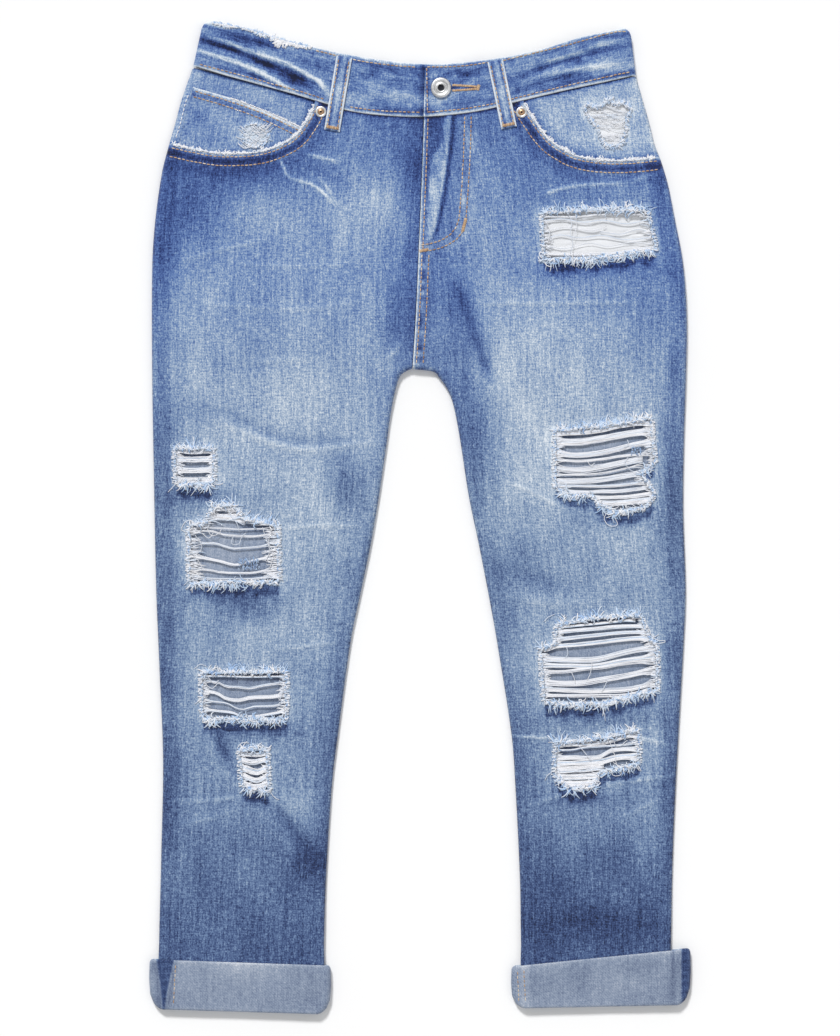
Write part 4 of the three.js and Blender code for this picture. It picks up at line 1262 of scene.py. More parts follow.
def pocket_edge(side, lap=0.0):
    """The pocket's curved edge from the side seam to the waist seam, moved down by a lap."""
    curve = curve_through(POCKET_CURVE[side], 1.3)
    if lap:
        ahead = np.gradient(curve, axis=0)
        ahead /= np.linalg.norm(ahead, axis=1, keepdims=True)
        curve = curve + np.stack([-ahead[:, 1], ahead[:, 0]], 1) * lap * SIGN[side]
    x, y = curve.T
    within = (np.abs(x) < np.abs(out_x[side](y)) - 0.3) & (y < waist_seam(x) - GAP - 0.3)
    curve = curve[within]
    start = curve[0][1]
    top_x = curve[-1][0]
    first = [[float(out_x[side](start)), start]]
    last = [[top_x, float(waist_seam(top_x)) - GAP]]
    return np.vstack([first, curve, last])


def hem_points(side):
    x0, x1 = float(leg_x[side](HEM_Y)), float(out_x[side](HEM_Y))
    x = np.linspace(x0, x1, int(abs(x1 - x0) / 3))[1:-1]
    return np.stack([x, np.full_like(x, HEM_Y)], 1)


def front_outline(side):
    edge = pocket_edge(side)
    top = edge[-1][0]
    return np.vstack([
        side_points(side, HEM_Y, edge[0][1] - 0.8), edge, waist_points(top, float(centre_x(340)))[1:-1],
        inner_points(side), hem_points(side),
    ])


def yoke_line(side, shift):
    """Across the seat, under the yoke: from the side seam to the seat seam."""
    s = SIGN[side]
    side_y, centre_y = TOP_Y[side] - YOKE_SIDE, float(waist_seam(0)) - YOKE_CENTRE
    line = np.array([(s * 230, side_y), (s * -30, centre_y - 8)], float) + [0, shift]
    line = resample(line, EDGE_STEP)
    x, y = line.T
    within = (np.abs(x) < np.abs(out_x[side](y)) - 0.2) & (s * (x - centre_x(y)) > GAP / 2 + 0.2)
    line = line[within]
    first = [[float(out_x[side](line[0][1])), line[0][1]]]
    last = [[float(centre_x(line[-1][1])) + s * GAP / 2, line[-1][1]]]
    return np.vstack([first, line, last])


def back_outline(side):
    line = yoke_line(side, -GAP / 2)
    inner = inner_points(side)
    return np.vstack([
        side_points(side, HEM_Y, line[0][1] - 0.8), line, inner[inner[:, 1] < line[-1][1] - 0.8],
        hem_points(side),
    ])


def yoke_outline(side):
    line = yoke_line(side, GAP / 2)[::-1]
    inner = inner_points(side)
    up = side_points(side, line[-1][1] + 0.8, TOP_Y[side] - GAP - 0.4)
    top = waist_points(up[-1][0], float(centre_x(340)))
    return np.vstack([line, up, top[1:-1], inner[inner[:, 1] > line[0][1] + 0.8]])


def facing_outline(side):
    lower = pocket_edge(side, POCKET_LAP)[::-1]
    up = side_points(side, lower[-1][1] + 0.8, TOP_Y[side] - GAP - 0.4)
    top = waist_points(up[-1][0], lower[0][0])
    return np.vstack([lower, up, top[1:-1]])


def rip_holes(side):
    return [ragged(o, 1.5, 0.7, 70 + i) for i, o in enumerate(RIPS[side].values())]


# ---- Stitching ----
def stitches(line, face, length=2.5, gap=0.95, width=0.5, seed=1, drop=0.0):
    """A row of topstitching along a line, lying in the cloth at each end: a batch of strands."""
    pitch = length + gap
    p = resample(line, 0.5)
    place = np.concatenate([[0], np.cumsum(np.hypot(*np.diff(p, axis=0).T))])
    count = int(place[-1] // pitch)
    rng = np.random.default_rng(seed)
    steps = np.array([0.0, 0.16, 0.5, 0.84, 1.0])
    start = (np.arange(count) + 0.5) * place[-1] / count - length / 2
    along = start[:, None] + steps * length
    x = np.interp(along, place, p[:, 0]) + rng.normal(0, 0.07, (count, 1))
    y = np.interp(along, place, p[:, 1]) + rng.normal(0, 0.07, (count, 1))
    raised = np.array([-0.25, 0.2, 0.3, 0.2, -0.25]) - drop
    z = face(x, y) + raised
    radius = width * np.array([0.7, 0.95, 1.0, 0.95, 0.7])
    worn = np.clip(rng.normal(0.5, 0.22, count), 0, 1)
    return np.stack([x, y, z], -1), np.broadcast_to(radius, x.shape), worn


def beside(line, distance):
    """A line moved sideways: to its left where the distance is positive."""
    line = np.asarray(line, float)
    ahead = np.gradient(line, axis=0)
    ahead /= np.maximum(np.linalg.norm(ahead, axis=1, keepdims=True), 1e-9)
    return line + np.stack([-ahead[:, 1], ahead[:, 0]], 1) * distance


def bartack(start, end, face, width=2.0, seed=3):
    """A dense bar of thread across a line."""
    a, b = np.array(start, float), np.array(end, float)
    length = np.linalg.norm(b - a)
    along = (b - a) / length
    side = np.array([-along[1], along[0]]) * width / 2
    count = int(length / 0.55)
    rng = np.random.default_rng(seed)
    t = (np.arange(count) + 0.5) / count
    centre = a + (b - a) * t[:, None] + rng.normal(0, 0.1, (count, 2))
    places = np.linspace(-1, 1, 5)
    xy = centre[:, None, :] + side * places[:, None]
    z = face(xy[..., 0], xy[..., 1]) + np.array([-0.1, 0.4, 0.5, 0.4, -0.1])
    return np.concatenate([xy, z[..., None]], -1), np.full((count, 5), 0.34), rng.uniform(0.3, 0.7, count)


UNDER_RELIEF = 0.15  # how far a thread may stand out below the height that the jeans lie at


def turn_under(batches, face):
    """Turns strands over to a cloth's lower face, and keeps them off the surface that it lies on."""
    for path, radius, *_ in batches:
        flat = face(path[..., 0], path[..., 1])
        path[..., 2] = np.maximum(2 * flat - path[..., 2], radius - UNDER_RELIEF)


# ---- Yarns ----
def weft_yarns(side, name, seed):
    """The yarns across one rip: spread out at its sides and gathered in bands between them."""
    rng = np.random.default_rng(seed)
    bands = [(line_through(points, 0), points[0][0], points[-1][0], width)
             for points, width in WEFTS[side][name]]
    t = np.linspace(0, 1, 19)
    fan = FAN[name] if (side, name) != ("right", "thigh") else 0.18
    gather = smooth(0, fan, t) * (1 - smooth(1 - fan, 1, t))
    paths, radii, tints = [], [], []
    for k, (line, x0, x1, width) in enumerate(bands):
        x = x0 - 1.8 + (x1 - x0 + 3.6) * t
        centre = line(np.clip(x, x0, x1))
        above = bands[k - 1][0](x) if k else centre + 2 * width / 2
        below = bands[k + 1][0](x) if k + 1 < len(bands) else centre - 2 * width / 2
        upper = centre + np.clip((above - centre) / 2, width / 2, 5.5)
        lower = centre - np.clip((centre - below) / 2, width / 2, 5.5)
        count = max(2, int(round(width / 0.50)))
        for j in range(count):
            share = (j + 0.5) / count
            spread = lower + (upper - lower) * (share + rng.normal(0, 0.04))
            held = centre + (share - 0.5) * width
            wander = np.cumsum(rng.normal(0, 0.11, t.size))
            wander = wander - np.linspace(wander[0], wander[-1], t.size)
            y = spread + (held - spread) * gather + wander * 0.8
            sag = 0.1 + 0.3 * rng.random() + 0.35 * abs(2 * share - 1)
            z = front_plain(x, y, side) - 0.5 + (0.35 - sag) * np.sin(np.pi * t) ** 0.6
            z = z + rng.normal(0, 0.06, t.size)
            paths.append(np.stack([x, y, z], 1))
            thick = rng.uniform(0.29, 0.40) * (1 + 0.12 * rng.normal(0, 1, t.size).clip(-1.5, 1.5))
            radii.append(thick)
            tints.append(np.clip(rng.normal(0.90, 0.10), 0.5, 1))
    return np.array(paths), np.array(radii), np.array(tints), 4


def side_tufts(side, name, seed, per_mm=1.7):
    """Short yarns that come out of a rip's two sides and thin out into it."""
    outline = RIPS[side][name]
    rng = np.random.default_rng(seed)
    ys = [p[1] for p in outline]
    paths, tints = [], []
    reach = 13 if (side, name) == ("right", "thigh") else 7
    for y0 in np.arange(min(ys) + 1, max(ys) - 1, 1 / per_mm):
        span = spans_at(outline, y0)
        if span is None or span[1] - span[0] < 8:
            continue
        for edge, inward in ((span[0], 1), (span[1], -1)):
            length = reach * rng.uniform(0.25, 1.0) ** 1.3 + 2.5
            t = np.linspace(0, 1, 6)
            x = edge - inward * 1.6 + inward * length * t
            y = y0 + rng.normal(0, 0.3) + rng.normal(0, 0.16 * length) * t**1.5 + 0.25 * np.sin(7 * t + y0)
            z = front_plain(x, y, side) - 0.45 + rng.uniform(-0.3, 0.35) * np.sin(np.pi * t)
            if rng.random() < 0.55:
                x = x - inward * rng.uniform(0.4, 2.4)
                z = z + 1.5 * (1 - smooth(0.15, 0.7, t))
            paths.append(np.stack([x, y, z - 0.5 * t**3], 1))
            tints.append(np.clip(rng.normal(0.9, 0.1), 0.4, 1))
    return np.array(paths), np.linspace(0.50, 0.26, 6), np.array(tints), 4


def scraps(side, name, seed):
    """Blue warp still held by the yarns of a rip, as short tufts along the cloth."""
    rng = np.random.default_rng(seed)
    batches = []
    for cx, cy, across, up in SCRAPS[side]:
        if not inside(np.array([cx]), np.array([cy]), RIPS[side][name])[0]:
            continue
        count = int(across * up * 3.2)
        x0, y0 = cx + rng.uniform(-1, 1, count) * across, cy + rng.uniform(-1, 1, count) * up
        t = np.linspace(0, 1, 4)
        x = x0[:, None] + rng.normal(0, 0.5, (count, 1)) * t
        y = y0[:, None] + rng.uniform(-2.4, 2.4, (count, 1)) * t
        z = front_plain(x, y, side) + 0.15 + rng.uniform(0, 0.7, (count, 1)) * np.sin(np.pi * t)
        batches.append((np.stack([x, y, z], -1), 0.36, rng.uniform(0.1, 0.6, count), 3))
    return batches


def loose_yarn(points, face, seed, steps=15, radius=0.27):
    """One loose yarn that lies over the cloth."""
    rng = np.random.default_rng(seed)
    line = curve_through(points, 0.5)
    place = np.linspace(0, len(line) - 1, steps)
    x = np.interp(place, np.arange(len(line)), line[:, 0]) + rng.normal(0, 0.15, steps)
    y = np.interp(place, np.arange(len(line)), line[:, 1]) + rng.normal(0, 0.15, steps)
    rise = 0.35 + 1.1 * np.sin(np.linspace(0, np.pi, steps)) * rng.uniform(0.5, 1.1)
    return np.stack([x, y, face(x, y) + rise], 1)[None], radius, [rng.uniform(0.75, 1.0)], 4


def frizz(line, outward, length, per_mm, face, seed, height=1.3, tint=(0.62, 0.2), steps=5, back=0.6):
    """Curly frayed threads along a line, each starting in the edge and lying out over the cloth."""
    rng = np.random.default_rng(seed)
    gaps = np.concatenate([[0], np.cumsum(np.hypot(*np.diff(line, axis=0).T))])
    count = max(3, int(gaps[-1] * per_mm))
    place = np.sort(rng.uniform(0, gaps[-1], count))
    base = np.stack([np.interp(place, gaps, line[:, k]) for k in (0, 1)], 1)
    out = np.stack([np.interp(place, gaps, outward[:, k]) for k in (0, 1)], 1)
    reach = np.interp(place, gaps, np.broadcast_to(length, len(line)))
    clumps = 0.75 + 0.45 * soft_noise(place, place * 0, (5, 9), seed)
    reach = reach * rng.uniform(0.45, 1.1, count) * clumps
    angle = np.arctan2(out[:, 1], out[:, 0]) + rng.normal(0, 0.55, count)
    angle = angle + 0.7 * soft_noise(place, place * 0 + 50, (3.5, 9), seed + 1)
    bend = rng.normal(0, 1.7, count)
    t = np.linspace(0, 1, steps)
    turned = angle[:, None] + bend[:, None] * t
    step = reach[:, None] / (steps - 1)
    x = base[:, :1] - back * out[:, :1] + np.cumsum(np.cos(turned) * step, axis=1)
    y = base[:, 1:] - back * out[:, 1:] + np.cumsum(np.sin(turned) * step, axis=1)
    lie = face(x, y)
    arch = rng.uniform(0.25, 1.0, (count, 1)) * height
    z = lie + 0.12 + arch * np.sin(np.pi * np.clip(t * 0.9 + 0.02, 0, 1)) ** 0.8
    z[:, 0] = lie[:, 0] - 0.55
    radius = rng.uniform(0.42, 0.80, (count, 1)) * np.linspace(1.0, 0.6, steps)
    tints = np.clip(rng.normal(tint[0], tint[1], (count, 1)) + 0.12 * t, 0, 1)
    return np.stack([x, y, z], -1), radius, tints, 4


def outward_of(ring):
    """The unit directions that point out of a closed ring."""
    along = np.roll(ring, -1, axis=0) - np.roll(ring, 1, axis=0)
    along /= np.maximum(np.linalg.norm(along, axis=1, keepdims=True), 1e-9)
    ahead = np.roll(ring, -1, axis=0)
    area = np.sum(ring[:, 0] * ahead[:, 1] - ahead[:, 0] * ring[:, 1])
    return np.stack([along[:, 1], -along[:, 0]], 1) * (1 if area > 0 else -1)


def rip_frizz(outline, face, seed, long_reach=9.0, short_reach=3.6, thick=1.0):
    """The frayed edge all round a rip, longest at its top and bottom."""
    ring = resample(list(outline) + [outline[0]], 0.8)[:-1]
    out = outward_of(ring)
    kernel = np.ones(5) / 5
    around = np.vstack([out[-2:], out, out[:2]])
    out = np.stack([np.convolve(around[:, k], kernel, "valid") for k in (0, 1)], 1)
    level = np.abs(out[:, 1])
    reach = short_reach + (long_reach - short_reach) * smooth(0.45, 0.9, level)
    batches = []
    for layer, (share, height, tint) in enumerate(((1.0, 0.9, 0.46), (0.8, 2.0, 0.72))):
        strong = level > 0.5
        for part, per_mm in ((strong, 1.95 * thick), (~strong, 0.8 * thick)):
            edges = np.flatnonzero(np.diff(np.r_[False, part, False].astype(int)))
            for a, b in zip(edges[::2], edges[1::2]):
                if b - a < 3:
                    continue
                piece = slice(a, b)
                batches.append(frizz(
                    ring[piece], out[piece], reach[piece] * share, per_mm, face, seed + 31 * layer + a,
                    height, (tint, 0.16),
                ))
    return batches


def sewn_on(name, batches, look, slot="denim"):
    """An object of thread or yarn that sits on a cloth, ridden on the body."""
    strands = strands_object(name, batches, material(look))
    keep(strands, slot)
    return strands


# ---- The pieces ----
def on(surface, side, raise_by=0.0):
    """A height function of x and y alone."""
    return lambda x, y: surface(x, y, side) + raise_by


def within_front(line, side):
    """The part of a line that lies on the front panel."""
    x, y = line.T
    sideways = SIGN[side]
    good = (sideways * x < sideways * out_x[side](y) - 1.5) & (y < waist_seam(x) - 1.5)
    return line[good]


def piece_fronts(cloth_size):
    for side in SIDES:
        outline, holes = front_outline(side), rip_holes(side)
        panel = cloth_piece(
            f"front_cloth_{side}", outline, holes, cloth_size, front_top, side,
            denim_faces(), front_fade,
            detail=front_detail(side),
        )
        keep(panel, "denim", f"front_{side}")
        s, face = SIGN[side], on(front_top, side)
        curve = pocket_edge(side)
        rows = [within_front(beside(curve[2:-2], d * s), side) for d in (3.4, 10.6)]
        if side == "left":
            rows += [FLY_J, FLY_J_INNER]
            edge = np.array([(centre_x(y) + 3.4, y) for y in np.arange(221, 330, 3.0)])
            rows.append(edge)
            rows += [np.array([(centre_x(y) + d, y) for y in np.arange(127, 219, 3.0)]) for d in (3.0, 8.6)]
        batches = [stitches(np.array(row, float), face, seed=90 + i) for i, row in enumerate(rows)]
        if side == "left":
            batches.append(bartack((-0.5, 219.6), (7.0, 221.0), face, 2.2, 7))
            batches.append(bartack((38.0, 247), (35.2, 236), face, 2.4, 8))
        sewn = sewn_on(f"front_stitches_{side}", batches, "thread")
        torn = []
        for i, (name, rip) in enumerate(RIPS[side].items()):
            torn.append(weft_yarns(side, name, 200 + i))
            torn.append(side_tufts(side, name, 250 + i))
            torn += rip_frizz(rip, face, 300 + 40 * i)
            torn += scraps(side, name, 280 + i)
        torn += [loose_yarn(points, face, 500 + i) for i, points in enumerate(LOOSE[side])]
        out = np.gradient(curve, axis=0)
        out = np.stack([-out[:, 1], out[:, 0]], 1) * -s
        out /= np.maximum(np.linalg.norm(out, axis=1, keepdims=True), 1e-9)
        inner = slice(3, -3)
        for k, (reach, tint) in enumerate(((2.4, 0.95), (3.2, 0.8))):
            torn.append(frizz(
                curve[inner], out[inner], reach, 1.8, face, 600 + k, 0.7, (tint, 0.12), 5, 1.2,
            ))
        yarn = sewn_on(f"front_yarn_{side}", torn, "yarn")
        lay(outline, holes)


def piece_backs(cloth_size):
    faces = denim_faces()
    for side in SIDES:
        face = on(back_bottom, side)
        low = yoke_line(side, -GAP / 2)
        heights = np.arange(128, 262, 3.0)
        seat = [np.stack([centre_x(heights) + SIGN[side] * d, heights], 1) for d in (3, 8)]
        rows = [beside(low[2:-2], SIGN[side] * d) for d in (2.2, 7.5)] + (seat if side == "right" else [])
        rows = [row[(np.abs(row[:, 0]) < np.abs(out_x[side](row[:, 1])) - 3)] for row in rows]
        for name, node, outline in (
            (f"back_cloth_{side}", f"back_{side}", back_outline(side)),
            (f"yoke_cloth_{side}", f"yoke_{side}", yoke_outline(side)),
        ):
            piece = cloth_piece(
                name, outline, [], cloth_size, back_bottom, side, faces, back_fade, underside=True
            )
            keep(piece, "denim", node)
            extra = []
            if name.startswith("back"):
                batches = [stitches(row, face, seed=120 + i) for i, row in enumerate(rows)]
                turn_under(batches, face)
                extra = [sewn_on(f"back_stitches_{side}", batches, "thread")]
            lay(outline, [])


def piece_pockets(cloth_size):
    denims = denim_faces()
    for side in SIDES:
        s, plies = SIGN[side], 2 if side == "right" else 1
        outline = facing_outline(side)
        holes = [ragged(FACING_RIP, 1.3, 0.6, 77)] if side == "left" else []
        inside_face, bag_face = under_front(plies), under_front(plies + 1)
        facing = cloth_piece(
            f"pocket_facing_cloth_{side}", outline, holes, cloth_size, inside_face, side, denims, facing_fade
        )
        keep(facing, "denim", f"pocket_facing_{side}")
        face = on(inside_face, side)
        batches = []
        if side == "left":
            batches += rip_frizz(FACING_RIP, face, 810, 5.0, 4.4, 1.5)
            rng = np.random.default_rng(815)
            for i in range(46):
                cx, cy = rng.uniform(140, 168), rng.uniform(311, 340)
                if inside(np.array([cx]), np.array([cy]), FACING_RIP)[0]:
                    bow = rng.uniform(-2, 3)
                    first, last = rng.uniform(-3, 3), rng.uniform(-3, 3)
                    ends = [(cx - 7, cy + first), (cx, cy - bow), (cx + 7, cy + last)]
                    batches.append(loose_yarn(ends, on(bag_face, side, 0.4), 900 + i, 8))
        else:
            for k, away in enumerate((4.2, 9.4)):
                row = np.array([(out_x[side](y) + away, y) for y in np.arange(313, 352, 3.0)])
                batches.append(stitches(row, face, seed=812 + k)[:2] + (0.9,))
        extra = []
        if batches:
            extra = [sewn_on(f"facing_yarn_{side}", batches, "yarn")]
        lay(outline, holes)
        bag = curve_through([(s * x, y) for x, y in POCKET_BAG], 4, closed=True)
        x, y = bag.T
        bag = bag[(np.abs(x) < np.abs(out_x[side](y)) - 1.5) & (y < waist_seam(x) - 1.5)]
        cloth = cloth_piece(
            f"pocket_bag_cloth_{side}", bag, [], 1.8 if side == "left" else 3.6, bag_crumple(bag_face), side,
            [material("cotton")] * 3, facing_fade, thickness=0.8,
        )
        keep(cloth, "cotton", f"pocket_bag_{side}")
        lay(bag, [])
    outline = curve_free(COIN_POCKET)
    x, y = outline.T
    outline = outline[(x > out_x["right"](y) + 1.0) & (y < waist_seam(x) - 1.0)]
    coin_face = under_front(1)
    coin = cloth_piece(
        "coin_pocket_cloth", outline, [], cloth_size, coin_relief(coin_face), "right", denims, coin_fade
    )
    keep(coin, "denim", "coin_pocket")
    face = on(coin_relief(coin_face), "right")
    top = curve_through(COIN_TOP, 2)
    rows = [beside(top, -d) for d in (3.0, 7.6)]
    batches = [stitches(row[1:-2], face, seed=830 + i) for i, row in enumerate(rows)]
    sewn = sewn_on("coin_pocket_stitches", batches, "thread")
    torn = [frizz(top[16:48], np.tile([0.3, 0.95], (32, 1)), 1.4, 2.5, face, 840, 0.5, (0.9, 0.1), 5, 0.5)]
    torn += rip_frizz([(-146, 322), (-137, 325), (-128, 321), (-125, 311), (-134, 306), (-145, 309)], face,
                      850, 3.2, 3.2)
    rng = np.random.default_rng(860)
    for i in range(34):
        cx, cy = rng.uniform(-146, -126), rng.uniform(306, 325)
        bow = rng.uniform(1, 4)
        torn.append(loose_yarn([(cx - 6, cy + 1), (cx, cy - bow), (cx + 6, cy + 1.5)], face, 870 + i, 8))
    yarn = sewn_on("coin_pocket_yarn", torn, "yarn")
    lay(outline, [])


COIN_TOP = [(-187, 355), (-159, 347), (-128, 335.8), (-95, 320.3)]


def curve_free(points):
    """A closed outline resampled closely with its corners kept."""
    return resample(list(points) + [points[0]], EDGE_STEP)[:-1]


def facing_fade(x, y, side):
    x, y = np.asarray(x, float), np.asarray(y, float)
    pocket = np.abs(distance_to(x, y, POCKET_LINE[side]))
    # The last term is painted shade, darker near the pocket's edge under the front's hem.
    shade = 0.60 + 0.05 * soft_noise(x, y, (16, 12), 91) - 0.20 * np.exp(-pocket / 4)
    shade = shade + 0.08 * bump(x, out_x[side](y), 7)
    # Painted shadow: a dark line right under the waistband.
    shade = shade - 0.32 * bump(waist_seam(x), y, 2)
    if side == "left":
        torn = np.abs(distance_to(x, y, np.array(FACING_RIP + FACING_RIP[:1], float)))
        shade = shade + 0.30 * np.exp(-torn / 3.0) + 0.05
    return shade


def coin_fade(x, y, side):
    x, y = np.asarray(x, float), np.asarray(y, float)
    top = np.abs(distance_to(x, y, np.array(COIN_TOP, float)))
    shade = 0.56 + 0.06 * soft_noise(x, y, (14, 10), 92)
    shade = shade + 0.34 * bump(top, 0, 1.6) - 0.16 * bump(top, 5.4, 1.6)
    shade = shade + 0.22 * bump(x + 124, 0, 22) * bump(top, 0, 3.4)
    rip = np.hypot((x + 136) / 13, (y - 315.5) / 11)
    shade = shade + 0.34 * np.exp(-(rip**4))
    return shade - 0.12 * bump(x, out_x[side](y), 5)


def coin_relief(face):
    def relief(x, y, side):
        top = np.abs(distance_to(x, y, np.array(COIN_TOP, float)))
        return face(x, y, side) + 0.35 * (1 - smooth(8, 10, top)) - 0.15 * bump(top, 3, 0.8)

    return relief


# Folds across the pocket bag: height up the jeans, slope, depth.
BAG_FOLDS = [
    (245.5, 0.02, 1.8), (240.5, -0.01, 1.3), (233.5, 0.03, 1.7), (229.5, 0.0, 1.2), (224.5, 0.02, 1.5),
]


def bag_crumple(face):
    """The thin pocketing has soft wrinkles of its own."""

    def relief(x, y, side):
        folds = 0.4 * soft_noise(x, y, (30, 4), 95) + 0.25 * soft_noise(x, y, (14, 9), 96)
        for place, tilt, depth in BAG_FOLDS:
            off = y - place - tilt * (np.abs(x) - 145) - 1.2 * soft_noise(x, y, (22, 60), 97)
            folds = folds - depth * bump(off, 0, 1.0) * (0.6 + 0.6 * soft_noise(x, y, (18, 40), 98))
        return face(x, y, side) - 0.3 + folds * smooth(0, 12, np.abs(x - out_x[side](y)))

    return relief


# ---- The fly ----
def piece_fly(cloth_size):
    wrong = [material("wrong")] * 3
    y = np.arange(216, 330.5, EDGE_STEP)
    edge = np.stack([centre_x(y) + 2.2, y], 1)
    outline = np.vstack([
        edge[::-1],
        resample([(18.5, 217.5), (32.5, 227), (40.8, 243), (43.4, 272), (44, 332)], EDGE_STEP),
    ])
    facing = cloth_piece(
        "fly_facing_cloth", outline, [], cloth_size, under_front(1), "left", wrong, facing_fade
    )
    keep(facing, "denim_inside", "fly_facing")
    lay(outline, [])
    tape_outline = curve_free([(3, 225), (27, 225), (29, 328), (5.5, 328)])
    tape = cloth_piece(
        "zip_tape", tape_outline, [], 4, lambda x, y, side: np.full(np.shape(x), 4.85), "left",
        [material("denim")] * 3, lambda x, y, side: np.full(np.shape(x), 0.2), thickness=0.7,
    )
    keep(tape, "denim", "zip")
    rng = np.random.default_rng(9)
    rows = np.arange(228, 326, 1.3)
    teeth = np.array([
        [(16 + s * 2.6 + dx, y, 5.0) for dx in np.linspace(-2.2, 2.2, 3)]
        for y, s in zip(rows, np.tile([-0.4, 0.4], len(rows)))
    ])
    batch = (teeth, 0.42, rng.uniform(0, 1, len(teeth)))
    chain = strands_object("zip_teeth", [batch], material("button metal"))
    keep(chain, "metal")
    lay(tape_outline, [])
    shield_outline = curve_free([(-12, 235), (6, 222), (24, 222), (34, 235), (37, 328), (-8, 328)])
    shield = cloth_piece(
        "fly_shield_cloth", shield_outline, [], 4, lambda x, y, side: np.full(np.shape(x), 3.7), "left",
        wrong, facing_fade,
    )
    keep(shield, "denim_inside", "fly_shield")
    lay(shield_outline, [])


# ---- Waistband, cuffs and loops ----
def grid_wall(name, outer, inner, materials, closed=False, slots=None, **attributes):
    """A closed wall between two grids of points, (rows, columns, xyz). A closed one is a ring."""
    rows, columns, _ = outer.shape
    number = np.arange(rows * columns).reshape(rows, columns)
    wrap = np.hstack([number, number[:, :1]]) if closed else number
    a, b, c, d = wrap[:-1, :-1], wrap[:-1, 1:], wrap[1:, 1:], wrap[1:, :-1]
    skin = np.vstack([np.stack([a, b, c], -1).reshape(-1, 3), np.stack([a, c, d], -1).reshape(-1, 3)])
    count = rows * columns
    parts = [skin, skin[:, ::-1] + count]
    edges = [wrap[0], wrap[-1][::-1]]
    if not closed:
        edges += [number[::-1, 0], number[:, -1]]
    for edge in edges:
        p, q = edge[:-1], edge[1:]
        parts.append(np.vstack([np.stack([q, p, p + count], 1), np.stack([q, p + count, q + count], 1)]))
    triangles = np.vstack(parts)
    face_slots = np.repeat([0, 1, 2], [len(skin), len(skin), len(triangles) - 2 * len(skin)])
    points = np.vstack([outer.reshape(-1, 3), inner.reshape(-1, 3)])
    p, q, r = (points[triangles[:, k]] for k in range(3))
    if np.sum(p * np.cross(q, r)) < 0:
        triangles = triangles[:, ::-1]
    both = {key: np.concatenate([v.reshape(count, -1)] * 2).squeeze() for key, v in attributes.items()}
    return new_object(name, points, triangles, materials, face_slots if slots is None else slots, **both)


BAND_LOW = {"left": OUTSEAM["left"][-1], "right": OUTSEAM["right"][-1]}
BAND_SEAM = SEAT_LIFT + (BAND_TOP - SEAT_LIFT) * 0.45
UNDERLAP_X = 36
OVERLAP_X = 3


def band_relief(x, y):
    """What the waistband's front face adds to its flat height."""
    low, high = waist_seam(x), waist_top(x)
    below, above = y - low, high - y
    z = creased(x, y, BAND_CREASES, 2) * 0.8 + 0.12 * soft_noise(x, y, (16, 9), 101)
    z = z - 0.22 * bump(above, 3, 0.8) - 0.22 * bump(below, 3.4, 0.8)
    z = z + 0.16 * np.exp(-above / 3) * soft_noise(x, y, (4, 30), 102)
    z = z + 0.16 * np.exp(-below / 4) * soft_noise(x, y, (4, 30), 103)
    return z + 0.45 * (x >= OVERLAP_X - 0.1) * np.exp(-np.abs(x - OVERLAP_X) / 6)


def band_fade(x, y):
    """How worn the waistband is, with its painted shade and shadow."""
    low, high = waist_seam(x), waist_top(x)
    below, above = y - low, high - y
    shade = 0.53 + creased(x, y, BAND_CREASES, 3) + 0.05 * soft_noise(x, y, (18, 8), 104)
    tilt = 0.3 * np.abs(x)
    shade = shade + 0.10 * soft_noise(x, y - tilt, (22, 3.2), 105) + 0.07 * soft_noise(x, y, (4, 5), 106)
    shade = shade + 0.30 * np.exp(-above / 1.1) - 0.09 * bump(above, 4.6, 2)
    # Painted shade: a dark line for the buttonhole's slit.
    shade = shade - 0.30 * bump(y, BUTTON[1], 0.9) * (x > 26) * (x < 45)
    shade = shade - 0.16 * bump(x - OVERLAP_X, 3.2, 1.6) * (below < 42)
    shade = shade + 0.48 * bump(below, 0, 1.5) - 0.10 * bump(below, 4, 2)
    shade = shade + 0.45 * bump(x, OVERLAP_X, 0.9) * (x >= OVERLAP_X - 0.1)
    # Painted shadow that the overlapping end of the band casts to its left.
    shade = shade - 0.30 * np.exp((x - OVERLAP_X) / 2.4) * (x < OVERLAP_X - 0.1)
    shade = shade + 0.30 * bump(x + 104, 0, 17) * bump(above, 0, 4)
    shade = shade + 0.25 * smooth(-95, -135, x) * np.exp(-above / 2)
    return shade


